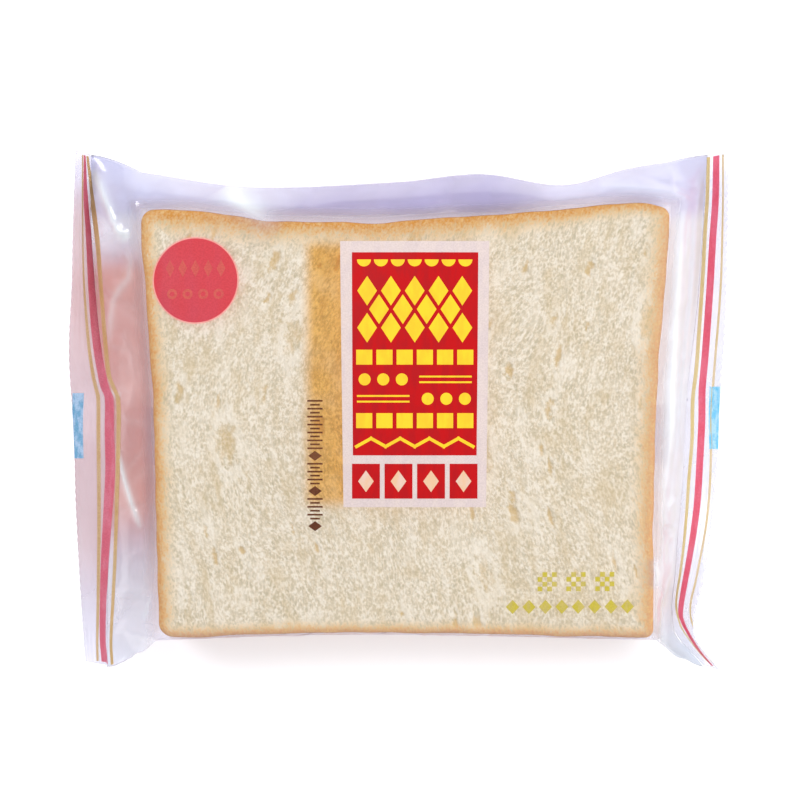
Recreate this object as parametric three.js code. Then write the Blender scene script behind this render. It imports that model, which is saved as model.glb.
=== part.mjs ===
// Two slices of tin bread sealed in a clear film bag, lying flat with the printed side up.
// The bag is a tube of film, welded flat at both ends and filled by the slices.
// Units are millimetres. X runs along the bag from weld to weld, Y towards the loaf's top crust, Z up.
import * as THREE from "three";
import { LoftGeometry } from "three/addons/geometries/LoftGeometry.js";

// Driving dimensions of the bread
const SLICE_COUNT = 2;
const SLICE_THICKNESS = 9.5;
const LOAF_TOP_WIDTH = 132; // across the slice at its top crust
const LOAF_BOTTOM_WIDTH = 123; // the tin tapers towards its base
const LOAF_LOW_Y = -57;
const LOAF_HIGH_Y = 50.5;
const LOAF_MIDDLE_X = 2;

// Driving dimensions of the film bag
const FLAT_WIDTH = 130; // of the tube pressed flat, which is the length of each weld
const WELD_WIDTH = 8.5;
const WELD_THICKNESS = 0.8; // thicker than the two real films, so that the weld is a solid
const FILM_GAP = 0.3; // between the film and the crust
const EDGE_RADIUS = 2.6; // of the film round the slices' edges
const AIR_DOME = 4.5; // how far the trapped air lifts the film over the middle of the slices
const CUT_BEVEL = 0.4; // the last stretch before the cut edge, where the weld thins to a line

// The film's folded edge beyond the top crust, as places along the bag and its distance from the middle
const FOLD_RIDGE = [
  [-66, 60.6],
  [-38, 56.8],
  [0, 58.1],
  [21, 60.1],
  [42, 57.3],
  [58, 61.4],
  [70, 63.4],
];

// Each weld's inner line: share of the way across from -1 to 1, distance along the bag, and tilt in degrees
const LEFT_WELD = [
  [-1, -74.4, -44],
  [-0.4, -74.1, -16],
  [0, -74.2, 6],
  [0.4, -77.1, 54],
  [0.7, -78.5, 70],
  [1, -78.4, 74],
];
const RIGHT_WELD = [
  [-1, 77.6, 74],
  [-0.86, 70.2, 64],
  [-0.62, 70.5, 36],
  [-0.2, 72.6, 12],
  [0.05, 73.3, 16],
  [0.45, 76.3, 44],
  [1, 78.6, 60],
];

// How finely the film is divided
const STEPS_SIDE = 5;
const STEPS_ROUND = 4;
const STEPS_FACE = 14;
const STEPS_TENT = 4;
const STEPS_ALONG = 16;
const STEPS_PANEL = 10;
const STEPS_WELD = 2;

// Worked out from the driving dimensions
const STACK_HEIGHT = SLICE_COUNT * SLICE_THICKNESS + 2 * FILM_GAP;
const WELD_HEIGHT = STACK_HEIGHT / 2;
const LOW_Y = LOAF_LOW_Y - FILM_GAP;
const TENT_START_Y = LOAF_HIGH_Y + FILM_GAP;
const TENT_ROUNDING = 0.35; // how far the tent's slope bulges over a straight one

const mix = THREE.MathUtils.lerp;

// A smooth curve through the rows of a table: its first column is the place, and the chosen one the value.
function through(rows, column, place) {
  const last = rows.length - 1;
  const at = THREE.MathUtils.clamp(place, rows[0][0], rows[last][0]);
  let i = 0;
  while (i < last - 1 && at > rows[i + 1][0]) i += 1;
  const slope = (k) => {
    const before = rows[Math.max(0, k - 1)];
    const after = rows[Math.min(last, k + 1)];
    return (after[column] - before[column]) / (after[0] - before[0]);
  };
  const span = rows[i + 1][0] - rows[i][0];
  const t = (at - rows[i][0]) / span;
  const start = rows[i][column];
  const end = rows[i + 1][column];
  const ease = t * t * (3 - 2 * t);
  const leave = slope(i) * span * t * (1 - t) * (1 - t);
  const arrive = slope(i + 1) * span * t * t * (t - 1);
  return mix(start, end, ease) + leave + arrive;
}

// The side of the slices at a height up the loaf: end is -1 on the left and 1 on the right.
function loafSideX(y, end) {
  const share = THREE.MathUtils.clamp((y - LOAF_LOW_Y) / (LOAF_HIGH_Y - LOAF_LOW_Y), 0, 1);
  const width = mix(LOAF_BOTTOM_WIDTH, LOAF_TOP_WIDTH, share);
  return LOAF_MIDDLE_X + end * (width / 2 + FILM_GAP);
}

// How far trapped air lifts the film over a point of the slices.
function airLift(x, y) {
  const acrossX = (x - LOAF_MIDDLE_X) / (LOAF_BOTTOM_WIDTH / 2);
  const acrossY = (2 * y - LOAF_LOW_Y - LOAF_HIGH_Y) / (LOAF_HIGH_Y - LOAF_LOW_Y);
  const open = Math.max(0, 1 - acrossX * acrossX) * Math.max(0, 1 - acrossY * acrossY);
  return AIR_DOME * Math.pow(open, 0.7);
}

// The front half of the filled bag's outline, from its low fold to its high fold. Each point has a height above
// the weld, and a place across: y up to the tent, and from there a share of the tent.
function frontHalf() {
  const half = STACK_HEIGHT / 2;
  const points = [];
  for (let i = 0; i < STEPS_SIDE; i += 1) {
    points.push({ y: LOW_Y, tent: 0, z: ((half - EDGE_RADIUS) * i) / STEPS_SIDE });
  }
  for (let i = 0; i < STEPS_ROUND; i += 1) {
    const angle = ((Math.PI / 2) * i) / STEPS_ROUND;
    const inward = EDGE_RADIUS * (1 - Math.cos(angle));
    points.push({ y: LOW_Y + inward, tent: 0, z: half - EDGE_RADIUS + EDGE_RADIUS * Math.sin(angle) });
  }
  for (let i = 0; i < STEPS_FACE; i += 1) {
    points.push({ y: mix(LOW_Y + EDGE_RADIUS, TENT_START_Y, i / STEPS_FACE), tent: 0, z: half });
  }
  for (let i = 0; i <= STEPS_TENT; i += 1) {
    const share = i / STEPS_TENT;
    const bulge = 2 * TENT_ROUNDING * share * (1 - share);
    points.push({ y: TENT_START_Y, tent: share, z: half * (1 - share + bulge) });
  }
  return points;
}

const FRONT = frontHalf();
const NOMINAL_RIDGE = through(FOLD_RIDGE, 1, 0);

// The place across the flat tube, from -1 to 1, of each point of the front half, by its length along the film.
function flatShares() {
  const lengths = [0];
  const placed = FRONT.map((p) => new THREE.Vector2(mix(p.y, NOMINAL_RIDGE, p.tent), p.z));
  for (let i = 1; i < placed.length; i += 1) {
    lengths.push(lengths[i - 1] + placed[i].distanceTo(placed[i - 1]));
  }
  return lengths.map((length) => (2 * length) / lengths[lengths.length - 1] - 1);
}

const ACROSS = flatShares();

// A point of the film over the slices, a share of the way from their left side to their right one.
function filledPoint(k, share, face) {
  const p = FRONT[k];
  const x = mix(loafSideX(p.y, -1), loafSideX(p.y, 1), share);
  const y = mix(p.y, through(FOLD_RIDGE, 1, x), p.tent);
  const lift = face > 0 && p.tent === 0 && p.y > LOW_Y ? airLift(x, y) : 0;
  return new THREE.Vector3(x, y, WELD_HEIGHT + face * p.z + lift);
}

// A point of a weld: distance outwards from its inner line, on its front or back face.
function weldPoint(k, rows, end, outwards, face, thickness) {
  const v = ACROSS[k];
  const tilt = THREE.MathUtils.degToRad(through(rows, 2, v));
  const atFold = k === 0 || k === FRONT.length - 1;
  const off = atFold ? 0 : (face * thickness) / 2;
  return new THREE.Vector3(
    through(rows, 1, v) + end * (outwards * Math.cos(tilt) - off * Math.sin(tilt)),
    (v * FLAT_WIDTH) / 2,
    WELD_HEIGHT + outwards * Math.sin(tilt) + off * Math.cos(tilt),
  );
}

// A point of the panel between a weld and the slices, a share of the way from the weld.
function panelPoint(k, rows, end, share, face) {
  const weld = weldPoint(k, rows, end, 0, face, WELD_THICKNESS);
  const filled = filledPoint(k, end < 0 ? 0 : 1, face);
  const rise = share * (1.3 - 0.3 * share);
  const drawIn = Math.pow(share, 1.5);
  return new THREE.Vector3(
    mix(weld.x, filled.x, share),
    mix(weld.y, filled.y, drawIn),
    mix(weld.z, filled.z, rise),
  );
}

// A closed ring of the film: out along the underside from the low fold to the high one, and back along the front.
function ring(pointOn) {
  const last = FRONT.length - 1;
  const underside = FRONT.map((_, k) => pointOn(k, -1));
  const front = [];
  for (let k = last - 1; k > 0; k -= 1) front.push(pointOn(k, 1));
  return [...underside, ...front];
}

// The rings of one end, from the cut edge to the slices.
function endRings(rows, end) {
  const rings = [ring((k, face) => weldPoint(k, rows, end, WELD_WIDTH, face, 0))];
  for (let i = STEPS_WELD; i > 0; i -= 1) {
    const outwards = ((WELD_WIDTH - CUT_BEVEL) * i) / STEPS_WELD;
    rings.push(ring((k, face) => weldPoint(k, rows, end, outwards, face, WELD_THICKNESS)));
  }
  for (let i = 0; i < STEPS_PANEL; i += 1) {
    rings.push(ring((k, face) => panelPoint(k, rows, end, i / STEPS_PANEL, face)));
  }
  return rings;
}

// The rings over the slices, both sides of them included.
function filledRings() {
  const rings = [];
  for (let i = 0; i <= STEPS_ALONG; i += 1) {
    rings.push(ring((k, face) => filledPoint(k, i / STEPS_ALONG, face)));
  }
  return rings;
}

function bagGeometry() {
  const rings = [...endRings(LEFT_WELD, -1), ...filledRings(), ...endRings(RIGHT_WELD, 1).reverse()];
  const geometry = new LoftGeometry(rings);
  geometry.computeBoundingBox();
  const middle = geometry.boundingBox.getCenter(new THREE.Vector3());
  return geometry.translate(-middle.x, -middle.y, -geometry.boundingBox.min.z);
}

const breadBag = new THREE.Mesh(
  bagGeometry(),
  new THREE.MeshStandardMaterial({ color: 0xdfd1bc, roughness: 0.35, metalness: 0 }),
);
breadBag.name = "bread_bag";

const pack = new THREE.Group();
pack.add(breadBag);

export default pack;
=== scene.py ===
"""Sliced tin bread sealed in a clear printed film bag, lying flat and seen from straight above.

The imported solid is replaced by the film, its welds, the slices and the print on the film. Lengths are metres.
"""
import logging
import math
from dataclasses import dataclass, field
from enum import Enum
from typing import Any, Callable, Sequence

import bpy
import numpy as np
from mathutils import Matrix, Vector, noise
from mathutils.bvhtree import BVHTree
from mathutils.kdtree import KDTree


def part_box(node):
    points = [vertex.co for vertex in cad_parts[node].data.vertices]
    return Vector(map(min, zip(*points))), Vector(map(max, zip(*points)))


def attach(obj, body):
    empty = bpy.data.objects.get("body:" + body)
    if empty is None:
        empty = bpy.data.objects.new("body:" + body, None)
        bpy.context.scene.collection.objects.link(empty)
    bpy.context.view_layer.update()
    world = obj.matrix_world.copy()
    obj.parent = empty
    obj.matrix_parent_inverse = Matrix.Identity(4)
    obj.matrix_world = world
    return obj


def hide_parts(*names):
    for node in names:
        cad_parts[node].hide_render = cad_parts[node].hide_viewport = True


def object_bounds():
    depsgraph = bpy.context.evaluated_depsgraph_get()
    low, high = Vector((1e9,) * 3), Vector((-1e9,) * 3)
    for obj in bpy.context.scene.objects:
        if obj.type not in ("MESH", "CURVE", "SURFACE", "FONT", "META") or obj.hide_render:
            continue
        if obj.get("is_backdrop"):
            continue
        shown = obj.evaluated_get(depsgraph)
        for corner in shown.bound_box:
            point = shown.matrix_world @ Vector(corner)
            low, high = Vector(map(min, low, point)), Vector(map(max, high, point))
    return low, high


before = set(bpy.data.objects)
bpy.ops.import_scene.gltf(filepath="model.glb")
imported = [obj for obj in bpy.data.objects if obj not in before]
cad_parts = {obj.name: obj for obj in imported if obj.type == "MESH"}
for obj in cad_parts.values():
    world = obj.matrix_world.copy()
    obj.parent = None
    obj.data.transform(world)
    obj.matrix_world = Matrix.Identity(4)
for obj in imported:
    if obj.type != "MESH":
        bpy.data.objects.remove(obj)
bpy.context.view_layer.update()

NODE = "bread_bag"
BODY = "root"
MM = 0.001
DRAWN_OUT = (1.0, 0.35, 1.0)

Array = np.ndarray
Rows = Sequence[Sequence[float]]
Colour = tuple[float, float, float]
Pair = tuple[float, float]

FLOW = ("flow_u", "flow_v", "flow_w")

log = logging.getLogger(NODE)


class End(Enum):
    """One end of the bag, as the way its weld points along X."""

    LEFT = -1
    RIGHT = 1

    @property
    def side(self) -> str:
        """The end's name, as it stands in the name of a piece."""
        return self.name.lower()


class Facing(Enum):
    """Which way a slice's cut face looks."""

    DOWN = -1
    UP = 1


def linear(red: int, green: int, blue: int) -> Colour:
    """Turn a screen colour into the scene's linear one.

    Args:
        red, green, blue: channels from 0 to 255, as a screen shows them.

    Returns:
        The linear channels from 0 to 1.
    """
    def channel(value: float) -> float:
        """Undo the screen's curve on one channel."""
        share = value / 255
        return share / 12.92 if share <= 0.04045 else ((share + 0.055) / 1.055) ** 2.4

    return channel(red), channel(green), channel(blue)


def mix(start: Any, end: Any, share: Any) -> Any:
    """Go a share of the way from start to end."""
    return start + (end - start) * share


def smoothstep(low: float, high: float, value: Any) -> Any:
    """Rise smoothly from 0 at low to 1 at high."""
    t = np.clip((value - low) / (high - low), 0.0, 1.0)
    return t * t * (3 - 2 * t)


def through(rows: Rows, column: int, place: Any) -> Array:
    """Follow a smooth curve through the rows of a table.

    Args:
        rows: the table. Its first column is the place, in rising order.
        column: the column that holds the value.
        place: where to read the curve. It is held within the table's ends.

    Returns:
        The value at each place.
    """
    table = np.asarray(rows, float)
    x, y = table[:, 0], table[:, column]
    last = len(x) - 1
    before, after = np.maximum(np.arange(last + 1) - 1, 0), np.minimum(np.arange(last + 1) + 1, last)
    slope = (y[after] - y[before]) / (x[after] - x[before])
    at = np.clip(np.asarray(place, float), x[0], x[-1])
    i = np.clip(np.searchsorted(x, at, side="left") - 1, 0, last - 1)
    span = x[i + 1] - x[i]
    t = (at - x[i]) / span
    ease = mix(y[i], y[i + 1], t * t * (3 - 2 * t))
    return ease + slope[i] * span * t * (1 - t) ** 2 + slope[i + 1] * span * t * t * (t - 1)


def traced(rows: Rows, place: Any) -> Array:
    """Follow the first value of a table in millimetres, for places in metres."""
    return through(rows, 1, np.asarray(place) / MM) * MM


class Val:
    """A number, colour or vector on its way through a material, with sums that add their nodes."""

    def __init__(self, shader: "Shader", socket: bpy.types.NodeSocket) -> None:
        """Wrap an output socket of the shader's tree."""
        self.shader = shader
        self.socket = socket

    def _sum(self, operation: str, first: Any, second: Any) -> "Val":
        """Add the Math node of an operation."""
        return self.shader.node("ShaderNodeMath", {"operation": operation}, {0: first, 1: second})

    def __add__(self, other: Any) -> "Val":
        """Add a value."""
        return self._sum("ADD", self, other)

    __radd__ = __add__

    def __mul__(self, other: Any) -> "Val":
        """Multiply by a value."""
        return self._sum("MULTIPLY", self, other)

    __rmul__ = __mul__

    def __sub__(self, other: Any) -> "Val":
        """Take a value away."""
        return self._sum("SUBTRACT", self, other)

    def __rsub__(self, other: Any) -> "Val":
        """Be taken away from a value."""
        return self._sum("SUBTRACT", other, self)

    def __pow__(self, other: Any) -> "Val":
        """Raise to a power."""
        return self._sum("POWER", self, other)

    def ramp(self, low: float, high: float, start: float = 0.0, end: float = 1.0) -> "Val":
        """Map a stretch of values smoothly onto another, held at its ends.

        Args:
            low, high: the stretch that is read.
            start, end: what low and high become.

        Returns:
            The mapped value.
        """
        settings = {"interpolation_type": "SMOOTHSTEP", "clamp": True}
        ends = {"From Min": low, "From Max": high, "To Min": start, "To Max": end}
        return self.shader.node("ShaderNodeMapRange", settings, {"Value": self, **ends})


class Shader:
    """A material under construction."""

    MIX_COLOUR_SOCKETS = (0, 6, 7)
    MIX_COLOUR_RESULT = 2

    def __init__(self, name: str) -> None:
        """Start an empty material.

        Args:
            name: the material's name.
        """
        self.material = bpy.data.materials.new(name)
        self.material.use_nodes = True
        self.material.node_tree.nodes.clear()

    def node(self, kind: str, settings: dict | None = None, sockets: dict | None = None,
             output: int | str = 0) -> Val:
        """Add a node.

        Args:
            kind: the node's type.
            settings: its properties, set first.
            sockets: a value or a link for each input that has one, by name or number.
            output: which of its outputs is wanted.

        Returns:
            The wanted output.
        """
        made = self.material.node_tree.nodes.new(kind)
        for key, value in (settings or {}).items():
            setattr(made, key, value)
        for key, value in (sockets or {}).items():
            if isinstance(value, Val):
                self.material.node_tree.links.new(value.socket, made.inputs[key])
            else:
                made.inputs[key].default_value = value
        return Val(self, made.outputs[output]) if len(made.outputs) else None

    def mix(self, share: Any, start: Any, end: Any, blend: str = "MIX") -> Val:
        """Mix two colours.

        Args:
            share: how much of end shows.
            start, end: colours, or values that carry one.
            blend: the way they mix.

        Returns:
            The mixed colour.
        """
        rgba = [(*c, 1.0) if isinstance(c, tuple) else c for c in (start, end)]
        sockets = dict(zip(self.MIX_COLOUR_SOCKETS, (share, *rgba)))
        settings = {"data_type": "RGBA", "blend_type": blend}
        return self.node("ShaderNodeMix", settings, sockets, self.MIX_COLOUR_RESULT)

    def place(self, stretch: Colour = (1.0, 1.0, 1.0), turn: float = 0.0) -> Val:
        """Read the place on the object, in metres, stretched and turned about Z.

        Args:
            stretch: the factor along each axis.
            turn: the turn in degrees.

        Returns:
            The place.
        """
        where = self.node("ShaderNodeTexCoord", output="Object")
        sockets = {"Vector": where, "Scale": stretch, "Rotation": (0.0, 0.0, math.radians(turn))}
        return self.node("ShaderNodeMapping", {"vector_type": "POINT"}, sockets)

    def noise(self, where: Val, scale: float, detail: float = 3.0, roughness: float = 0.55) -> Val:
        """Read soft noise, from about 0.3 to 0.7, that repeats scale times in a metre."""
        sockets = {"Vector": where, "Scale": scale, "Detail": detail, "Roughness": roughness}
        return self.node("ShaderNodeTexNoise", {}, sockets)

    def walls(self, where: Val, scale: float) -> Val:
        """Read the distance from the walls between cells, of which scale lie in a metre."""
        settings = {"feature": "DISTANCE_TO_EDGE"}
        return self.node("ShaderNodeTexVoronoi", settings, {"Vector": where, "Scale": scale}, "Distance")

    def joined(self, x: Val, y: Val, z: Val) -> Val:
        """Make a place of three numbers."""
        return self.node("ShaderNodeCombineXYZ", {}, {0: x, 1: y, 2: z})

    def attribute(self, name: str) -> Val:
        """Read a number that the mesh stores at each vertex."""
        return self.node("ShaderNodeAttribute", {"attribute_name": name}, output="Fac")

    def bump(self, height: Val, depth: float, strength: float = 1.0) -> Val:
        """Turn a height from 0 to 1 into a surface normal, with 1 standing depth above 0."""
        return self.node("ShaderNodeBump", {}, {"Height": height, "Distance": depth, "Strength": strength})

    def finish(self, surface: Val) -> bpy.types.Material:
        """Wire the last shader to the output and hand over the finished material."""
        self.node("ShaderNodeOutputMaterial", {}, {"Surface": surface})
        return self.material


@dataclass(frozen=True)
class BreadFinish:
    """White crumb with fine open pores, and the thin golden crust round it, with a painted shadow of the label
    and painted shade in the crumb's cells and pores.
    """

    shade: Colour = linear(192, 182, 146)
    crumb: Colour = linear(229, 215, 182)
    light: Colour = linear(249, 242, 219)
    tan: Colour = linear(210, 188, 136)
    # Painted shade inside the pores.
    painted_pore_shade: Colour = linear(206, 172, 98)
    crust_pale: Colour = linear(226, 176, 128)
    crust: Colour = linear(212, 144, 36)
    crust_inner: Colour = linear(230, 194, 128)
    wall: Colour = linear(206, 138, 66)
    wall_dark: Colour = linear(178, 106, 48)
    # A painted shadow: the orange tint that the label's shade gives the crumb beside it.
    painted_label_shadow: Colour = linear(248, 202, 112)
    grain: float = 1 / (1.25 * MM)
    fine_grain: float = 2.3 / (1.25 * MM)
    patches: float = 0.22 / (1.25 * MM)
    streaks: float = 0.36 / (1.25 * MM)
    streak_draw: float = 0.35
    cells: float = 1 / (1.1 * MM)
    broad: float = 110.0
    spots: float = 520.0
    grit: float = 1700.0
    relief: float = 0.3 * MM
    relief_strength: float = 0.55
    roughness: float = 0.9
    specular: float = 0.25
    # Where the label's painted shadow lies on the crumb, and how softly its edges fade.
    painted_shadow_middle: Pair = (-17.6 * MM, 9.2 * MM)
    painted_shadow_half: Pair = (5.6 * MM, 33.0 * MM)
    painted_shadow_fades: Pair = (2.4 * MM, 2.0 * MM)

    def make(self) -> bpy.types.Material:
        """Build the material.

        Returns:
            The material.
        """
        shader = Shader("bread")
        across, lengthways, third = (shader.attribute(name) for name in FLOW)
        flow = shader.joined(across, lengthways, third)
        drawn = shader.joined(across, lengthways * self.streak_draw, third)
        grain = shader.noise(flow, self.grain, 3.0, 0.65)
        walls = shader.walls(flow, self.cells)
        fine = shader.noise(flow, self.fine_grain, 3.0, 0.6)
        broad = shader.noise(shader.place(), self.broad, 3.0)
        # The hollows of the crumb's cells: darker in colour as painted shade, and lower in the bump.
        open_cell = walls.ramp(0.03, 0.3) * broad.ramp(0.35, 0.6, 0.35, 1.0)
        patch = shader.noise(flow, self.patches, 2.0)
        streak = shader.noise(drawn, self.streaks, 3.0)
        pore = shader.attribute("pore")
        crumb = self.crumb
        for share, colour in (
                (open_cell * 0.6, self.shade),
                (fine.ramp(0.48, 0.63) * 0.75, self.light), (grain.ramp(0.5, 0.67) * 0.7, self.light),
                ((1 - fine.ramp(0.36, 0.5)) * 0.5, self.shade),
                ((1 - grain.ramp(0.34, 0.48)) * 0.45, self.shade),
                (patch.ramp(0.52, 0.72) * 0.3, self.tan), ((1 - patch.ramp(0.32, 0.46)) * 0.16, self.light),
                (streak.ramp(0.52, 0.7) * 0.4, self.light), ((1 - streak.ramp(0.32, 0.48)) * 0.3, self.tan),
                # A painted highlight on the ring round each pore, and painted shade inside it.
                ((pore * -1).ramp(0.0, 0.5) * 0.5, self.light),
                (pore.ramp(0.0, 1.0) * (0.3 + grain * 0.6), self.painted_pore_shade)):
            crumb = shader.mix(share, crumb, colour)
        # Multiply the label's painted shadow into the crumb.
        crumb = shader.mix(self._painted_shadow_mask(shader, broad), crumb, self.painted_label_shadow, "MULTIPLY")
        colour = self._crusted(shader, crumb, broad, grain, fine)
        height = grain * 0.6 + fine * 0.25 - open_cell * 0.35
        normal = shader.bump(height, self.relief, self.relief_strength)
        surface = shader.node("ShaderNodeBsdfPrincipled", {}, {
            "Base Color": colour, "Roughness": self.roughness, "Normal": normal,
            "Specular IOR Level": self.specular})
        return shader.finish(surface)

    def _crusted(self, shader: Shader, crumb: Val, broad: Val, grain: Val, fine: Val) -> Val:
        """Lay the crust's colours over the crumb, from its soft inner side to its baked outside."""
        depth = shader.attribute("crust")
        grit = shader.noise(shader.place(), self.grit, 2.0)
        crust = depth + (broad - 0.5) * 0.6 + (grain - 0.5) * 1.3 + (fine - 0.5) * 1.5
        spots = shader.noise(shader.place(), self.spots, 4.0, 0.7)
        golden = shader.mix(shader.attribute("bake"), self.crust_pale, self.crust)
        browned = (1 - fine.ramp(0.38, 0.5)) * 0.5 + spots.ramp(0.5, 0.7) * 0.3
        golden = shader.mix(browned, golden, self.wall)
        floury = grain.ramp(0.5, 0.6) * 0.45 + grit.ramp(0.5, 0.62) * 0.4
        golden = shader.mix(floury, golden, self.crust_inner)
        baked = broad.ramp(0.35, 0.7) * 0.45 + spots.ramp(0.48, 0.66) * 0.4
        wall = shader.mix(baked, self.wall, self.wall_dark)
        wall = shader.mix(grit.ramp(0.5, 0.62) * 0.35, wall, self.crust_inner)
        inner = shader.mix(crust.ramp(-0.6, 0.7) * 0.75, crumb, self.crust_inner)
        outer = shader.mix(crust.ramp(0.1, 0.95), inner, golden)
        return shader.mix(depth.ramp(1.02, 1.6), outer, wall)

    def _painted_shadow_mask(self, shader: Shader, broad: Val) -> Val:
        """Make the soft-edged mask of the painted shadow beside the label: the orange-tinted shade that the
        label casts on the crumb, painted into its colour.
        """
        inner, outer = self.painted_shadow_fades
        place = shader.node("ShaderNodeTexCoord", output="Object")
        mask = broad.ramp(0.3, 0.6, 0.88, 1.0)
        for i, (middle, half) in enumerate(zip(self.painted_shadow_middle, self.painted_shadow_half)):
            axis = shader.node("ShaderNodeSeparateXYZ", {}, {0: place}, i)
            off = shader.node("ShaderNodeMath", {"operation": "ABSOLUTE"}, {0: axis - middle})
            mask = (1 - off.ramp(half - inner, half + outer)) * mask
        return mask


@dataclass(frozen=True)
class FilmFinish:
    """Clear packing film: mostly see-through, hazy where it is loose and glossy on its creases. The haze's
    colours are painted light and shade: lavender shade and bluish reflection where the film is loose, warm
    shade beside the slices, a white sheen on the right-hand panel, and whitening along the creases that is
    partly stress-whitening and partly painted highlight.
    """

    name: str = "film"
    # A slight lavender in what shows through the film, which stands in for the bluish surroundings that it
    # reflects.
    clear: Colour = (0.968, 0.96, 0.988)
    # Painted shade and reflection: the lavender of loose film over the floor's shade.
    painted_lavender_shade: Colour = linear(164, 158, 206)
    # Painted warm shade: the pink-brown that the slices' shadow and the crust's warm light give the loose film
    # beside them.
    painted_warm_shade: Colour = linear(216, 148, 138)
    # Painted reflection: the pale bluish tone of loose film, from the bluish surroundings it reflects.
    mist: Colour = linear(200, 202, 234)
    # Whitening and painted sheen: partly the film's stress-whitening on creases, partly a painted highlight.
    white: Colour = linear(244, 255, 255)
    gloss_share: float = 0.05
    gloss_roughness: float = 0.12
    rim_shine: float = 0.45
    milky_roughness: float = 0.45
    crinkle: float = 140.0
    crinkle_turn: float = 8.0
    crinkle_depth: float = 0.14 * MM
    clouds: float = 60.0

    def make(self) -> bpy.types.Material:
        """Build the material.

        Returns:
            The material.
        """
        shader = Shader(self.name)
        crinkle = shader.noise(shader.place(DRAWN_OUT, self.crinkle_turn), self.crinkle, 3.0)
        normal = shader.bump(crinkle, self.crinkle_depth, 0.5)
        facing = shader.node("ShaderNodeLayerWeight", {}, {"Blend": 0.35}, "Facing")
        clear = shader.node("ShaderNodeBsdfTransparent", {}, {"Color": (*self.clear, 1.0)})
        # The milky layer's colour: painted lavender shade, then painted warm shade, bluish reflection and sheen
        # over it.
        tone = shader.mix(shader.attribute("blush"), self.painted_lavender_shade, self.painted_warm_shade)
        tone = shader.mix(shader.attribute("mist"), tone, self.mist)
        tone = shader.mix(shader.attribute("white"), tone, self.white)
        milky = shader.node("ShaderNodeBsdfPrincipled", {}, {
            "Base Color": tone, "Roughness": self.milky_roughness, "Normal": normal})
        gloss = shader.node("ShaderNodeBsdfGlossy", {}, {
            "Color": (1.0, 1.0, 1.0, 1.0), "Roughness": self.gloss_roughness, "Normal": normal})
        cloud = shader.noise(shader.place(), self.clouds, 2.0).ramp(0.3, 0.7, 0.85, 1.15)
        milk = shader.attribute("milk") * cloud
        body = shader.node("ShaderNodeMixShader", {}, {0: milk, 1: clear, 2: milky})
        shine = facing ** 2.0 * self.rim_shine + self.gloss_share
        surface = shader.node("ShaderNodeMixShader", {}, {0: shine, 1: body, 2: gloss})
        return shader.finish(surface)


@dataclass(frozen=True)
class InkFinish:
    """A flat colour printed on the film, with slight streaks and the film's gloss over it."""

    name: str
    colour: Colour
    streak: Colour
    cover: float = 1.0
    roughness: float = 0.3
    mottle: float = 420.0
    contrast: float = 0.6
    fading: bool = False
    grain: float = 2600.0
    specular: float = 0.22
    coat: float = 0.1
    coat_roughness: float = 0.12

    def make(self) -> bpy.types.Material:
        """Build the material.

        Returns:
            The material.
        """
        shader = Shader(self.name)
        streaks = shader.noise(shader.place(DRAWN_OUT), self.mottle, 3.0)
        grain = shader.noise(shader.place(), self.grain, 1.0)
        share = streaks.ramp(0.38, 0.65) * self.contrast + grain * 0.1
        colour = shader.mix(share, self.colour, self.streak)
        roughness = streaks.ramp(0.3, 0.7, self.roughness, self.roughness + 0.12)
        ink = shader.node("ShaderNodeBsdfPrincipled", {}, {
            "Base Color": colour, "Roughness": roughness, "Specular IOR Level": self.specular,
            "Coat Weight": self.coat, "Coat Roughness": self.coat_roughness})
        if self.cover >= 1.0:
            return shader.finish(ink)
        clear = shader.node("ShaderNodeBsdfTransparent", {}, {"Color": (*self.colour, 1.0)})
        worn = grain.ramp(0.3, 0.7, self.cover * 0.92, min(1.0, self.cover * 1.08))
        worn = worn * shader.attribute("fade") if self.fading else worn
        return shader.finish(shader.node("ShaderNodeMixShader", {}, {0: worn, 1: clear, 2: ink}))


def make_object(name: str, points: Array, faces: Sequence[Sequence[int]],
                material: bpy.types.Material, smooth: bool = True) -> bpy.types.Object:
    """Make a mesh object.

    Args:
        name: the object's name.
        points: its vertices.
        faces: vertex numbers, turning to the left seen from outside.
        material: what it is made of.
        smooth: whether its faces are shaded as one surface.

    Returns:
        The object, linked to the scene.
    """
    mesh = bpy.data.meshes.new(name)
    mesh.from_pydata([tuple(p) for p in np.asarray(points).reshape(-1, 3)], [], [tuple(f) for f in faces])
    mesh.polygons.foreach_set("use_smooth", [smooth] * len(mesh.polygons))
    mesh.materials.append(material)
    mesh.update()
    made = bpy.data.objects.new(name, mesh)
    bpy.context.scene.collection.objects.link(made)
    return made


def store(mesh: bpy.types.Mesh, **numbers: Any) -> None:
    """Store numbers at each vertex of a mesh, for its material.

    Args:
        mesh: the mesh.
        numbers: under each name a number for every vertex, or one for all of them.
    """
    for name, values in numbers.items():
        layer = mesh.attributes.new(name, "FLOAT", "POINT")
        filled = np.full(len(mesh.vertices), values, np.float32)
        layer.data.foreach_set("value", filled)


def turned(faces: Sequence[Sequence[int]]) -> list[Sequence[int]]:
    """Turn faces to look the other way."""
    return [face[::-1] for face in faces]


def grid_faces(rows: int, columns: int, start: int = 0, closed: bool = False) -> list[tuple[int, ...]]:
    """List the four-sided faces of a grid of vertices.

    Args:
        rows, columns: the grid's vertices each way.
        start: the number of its first vertex.
        closed: whether each row joins back to its own start.

    Returns:
        The faces, which turn to the left for rows along X and columns along Y, seen from above.
    """
    faces = []
    for r in range(rows - 1):
        for c in range(columns if closed else columns - 1):
            d = (c + 1) % columns
            corners = ((r, c), (r + 1, c), (r + 1, d), (r, d))
            faces.append(tuple(start + i * columns + j for i, j in corners))
    return faces


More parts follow.
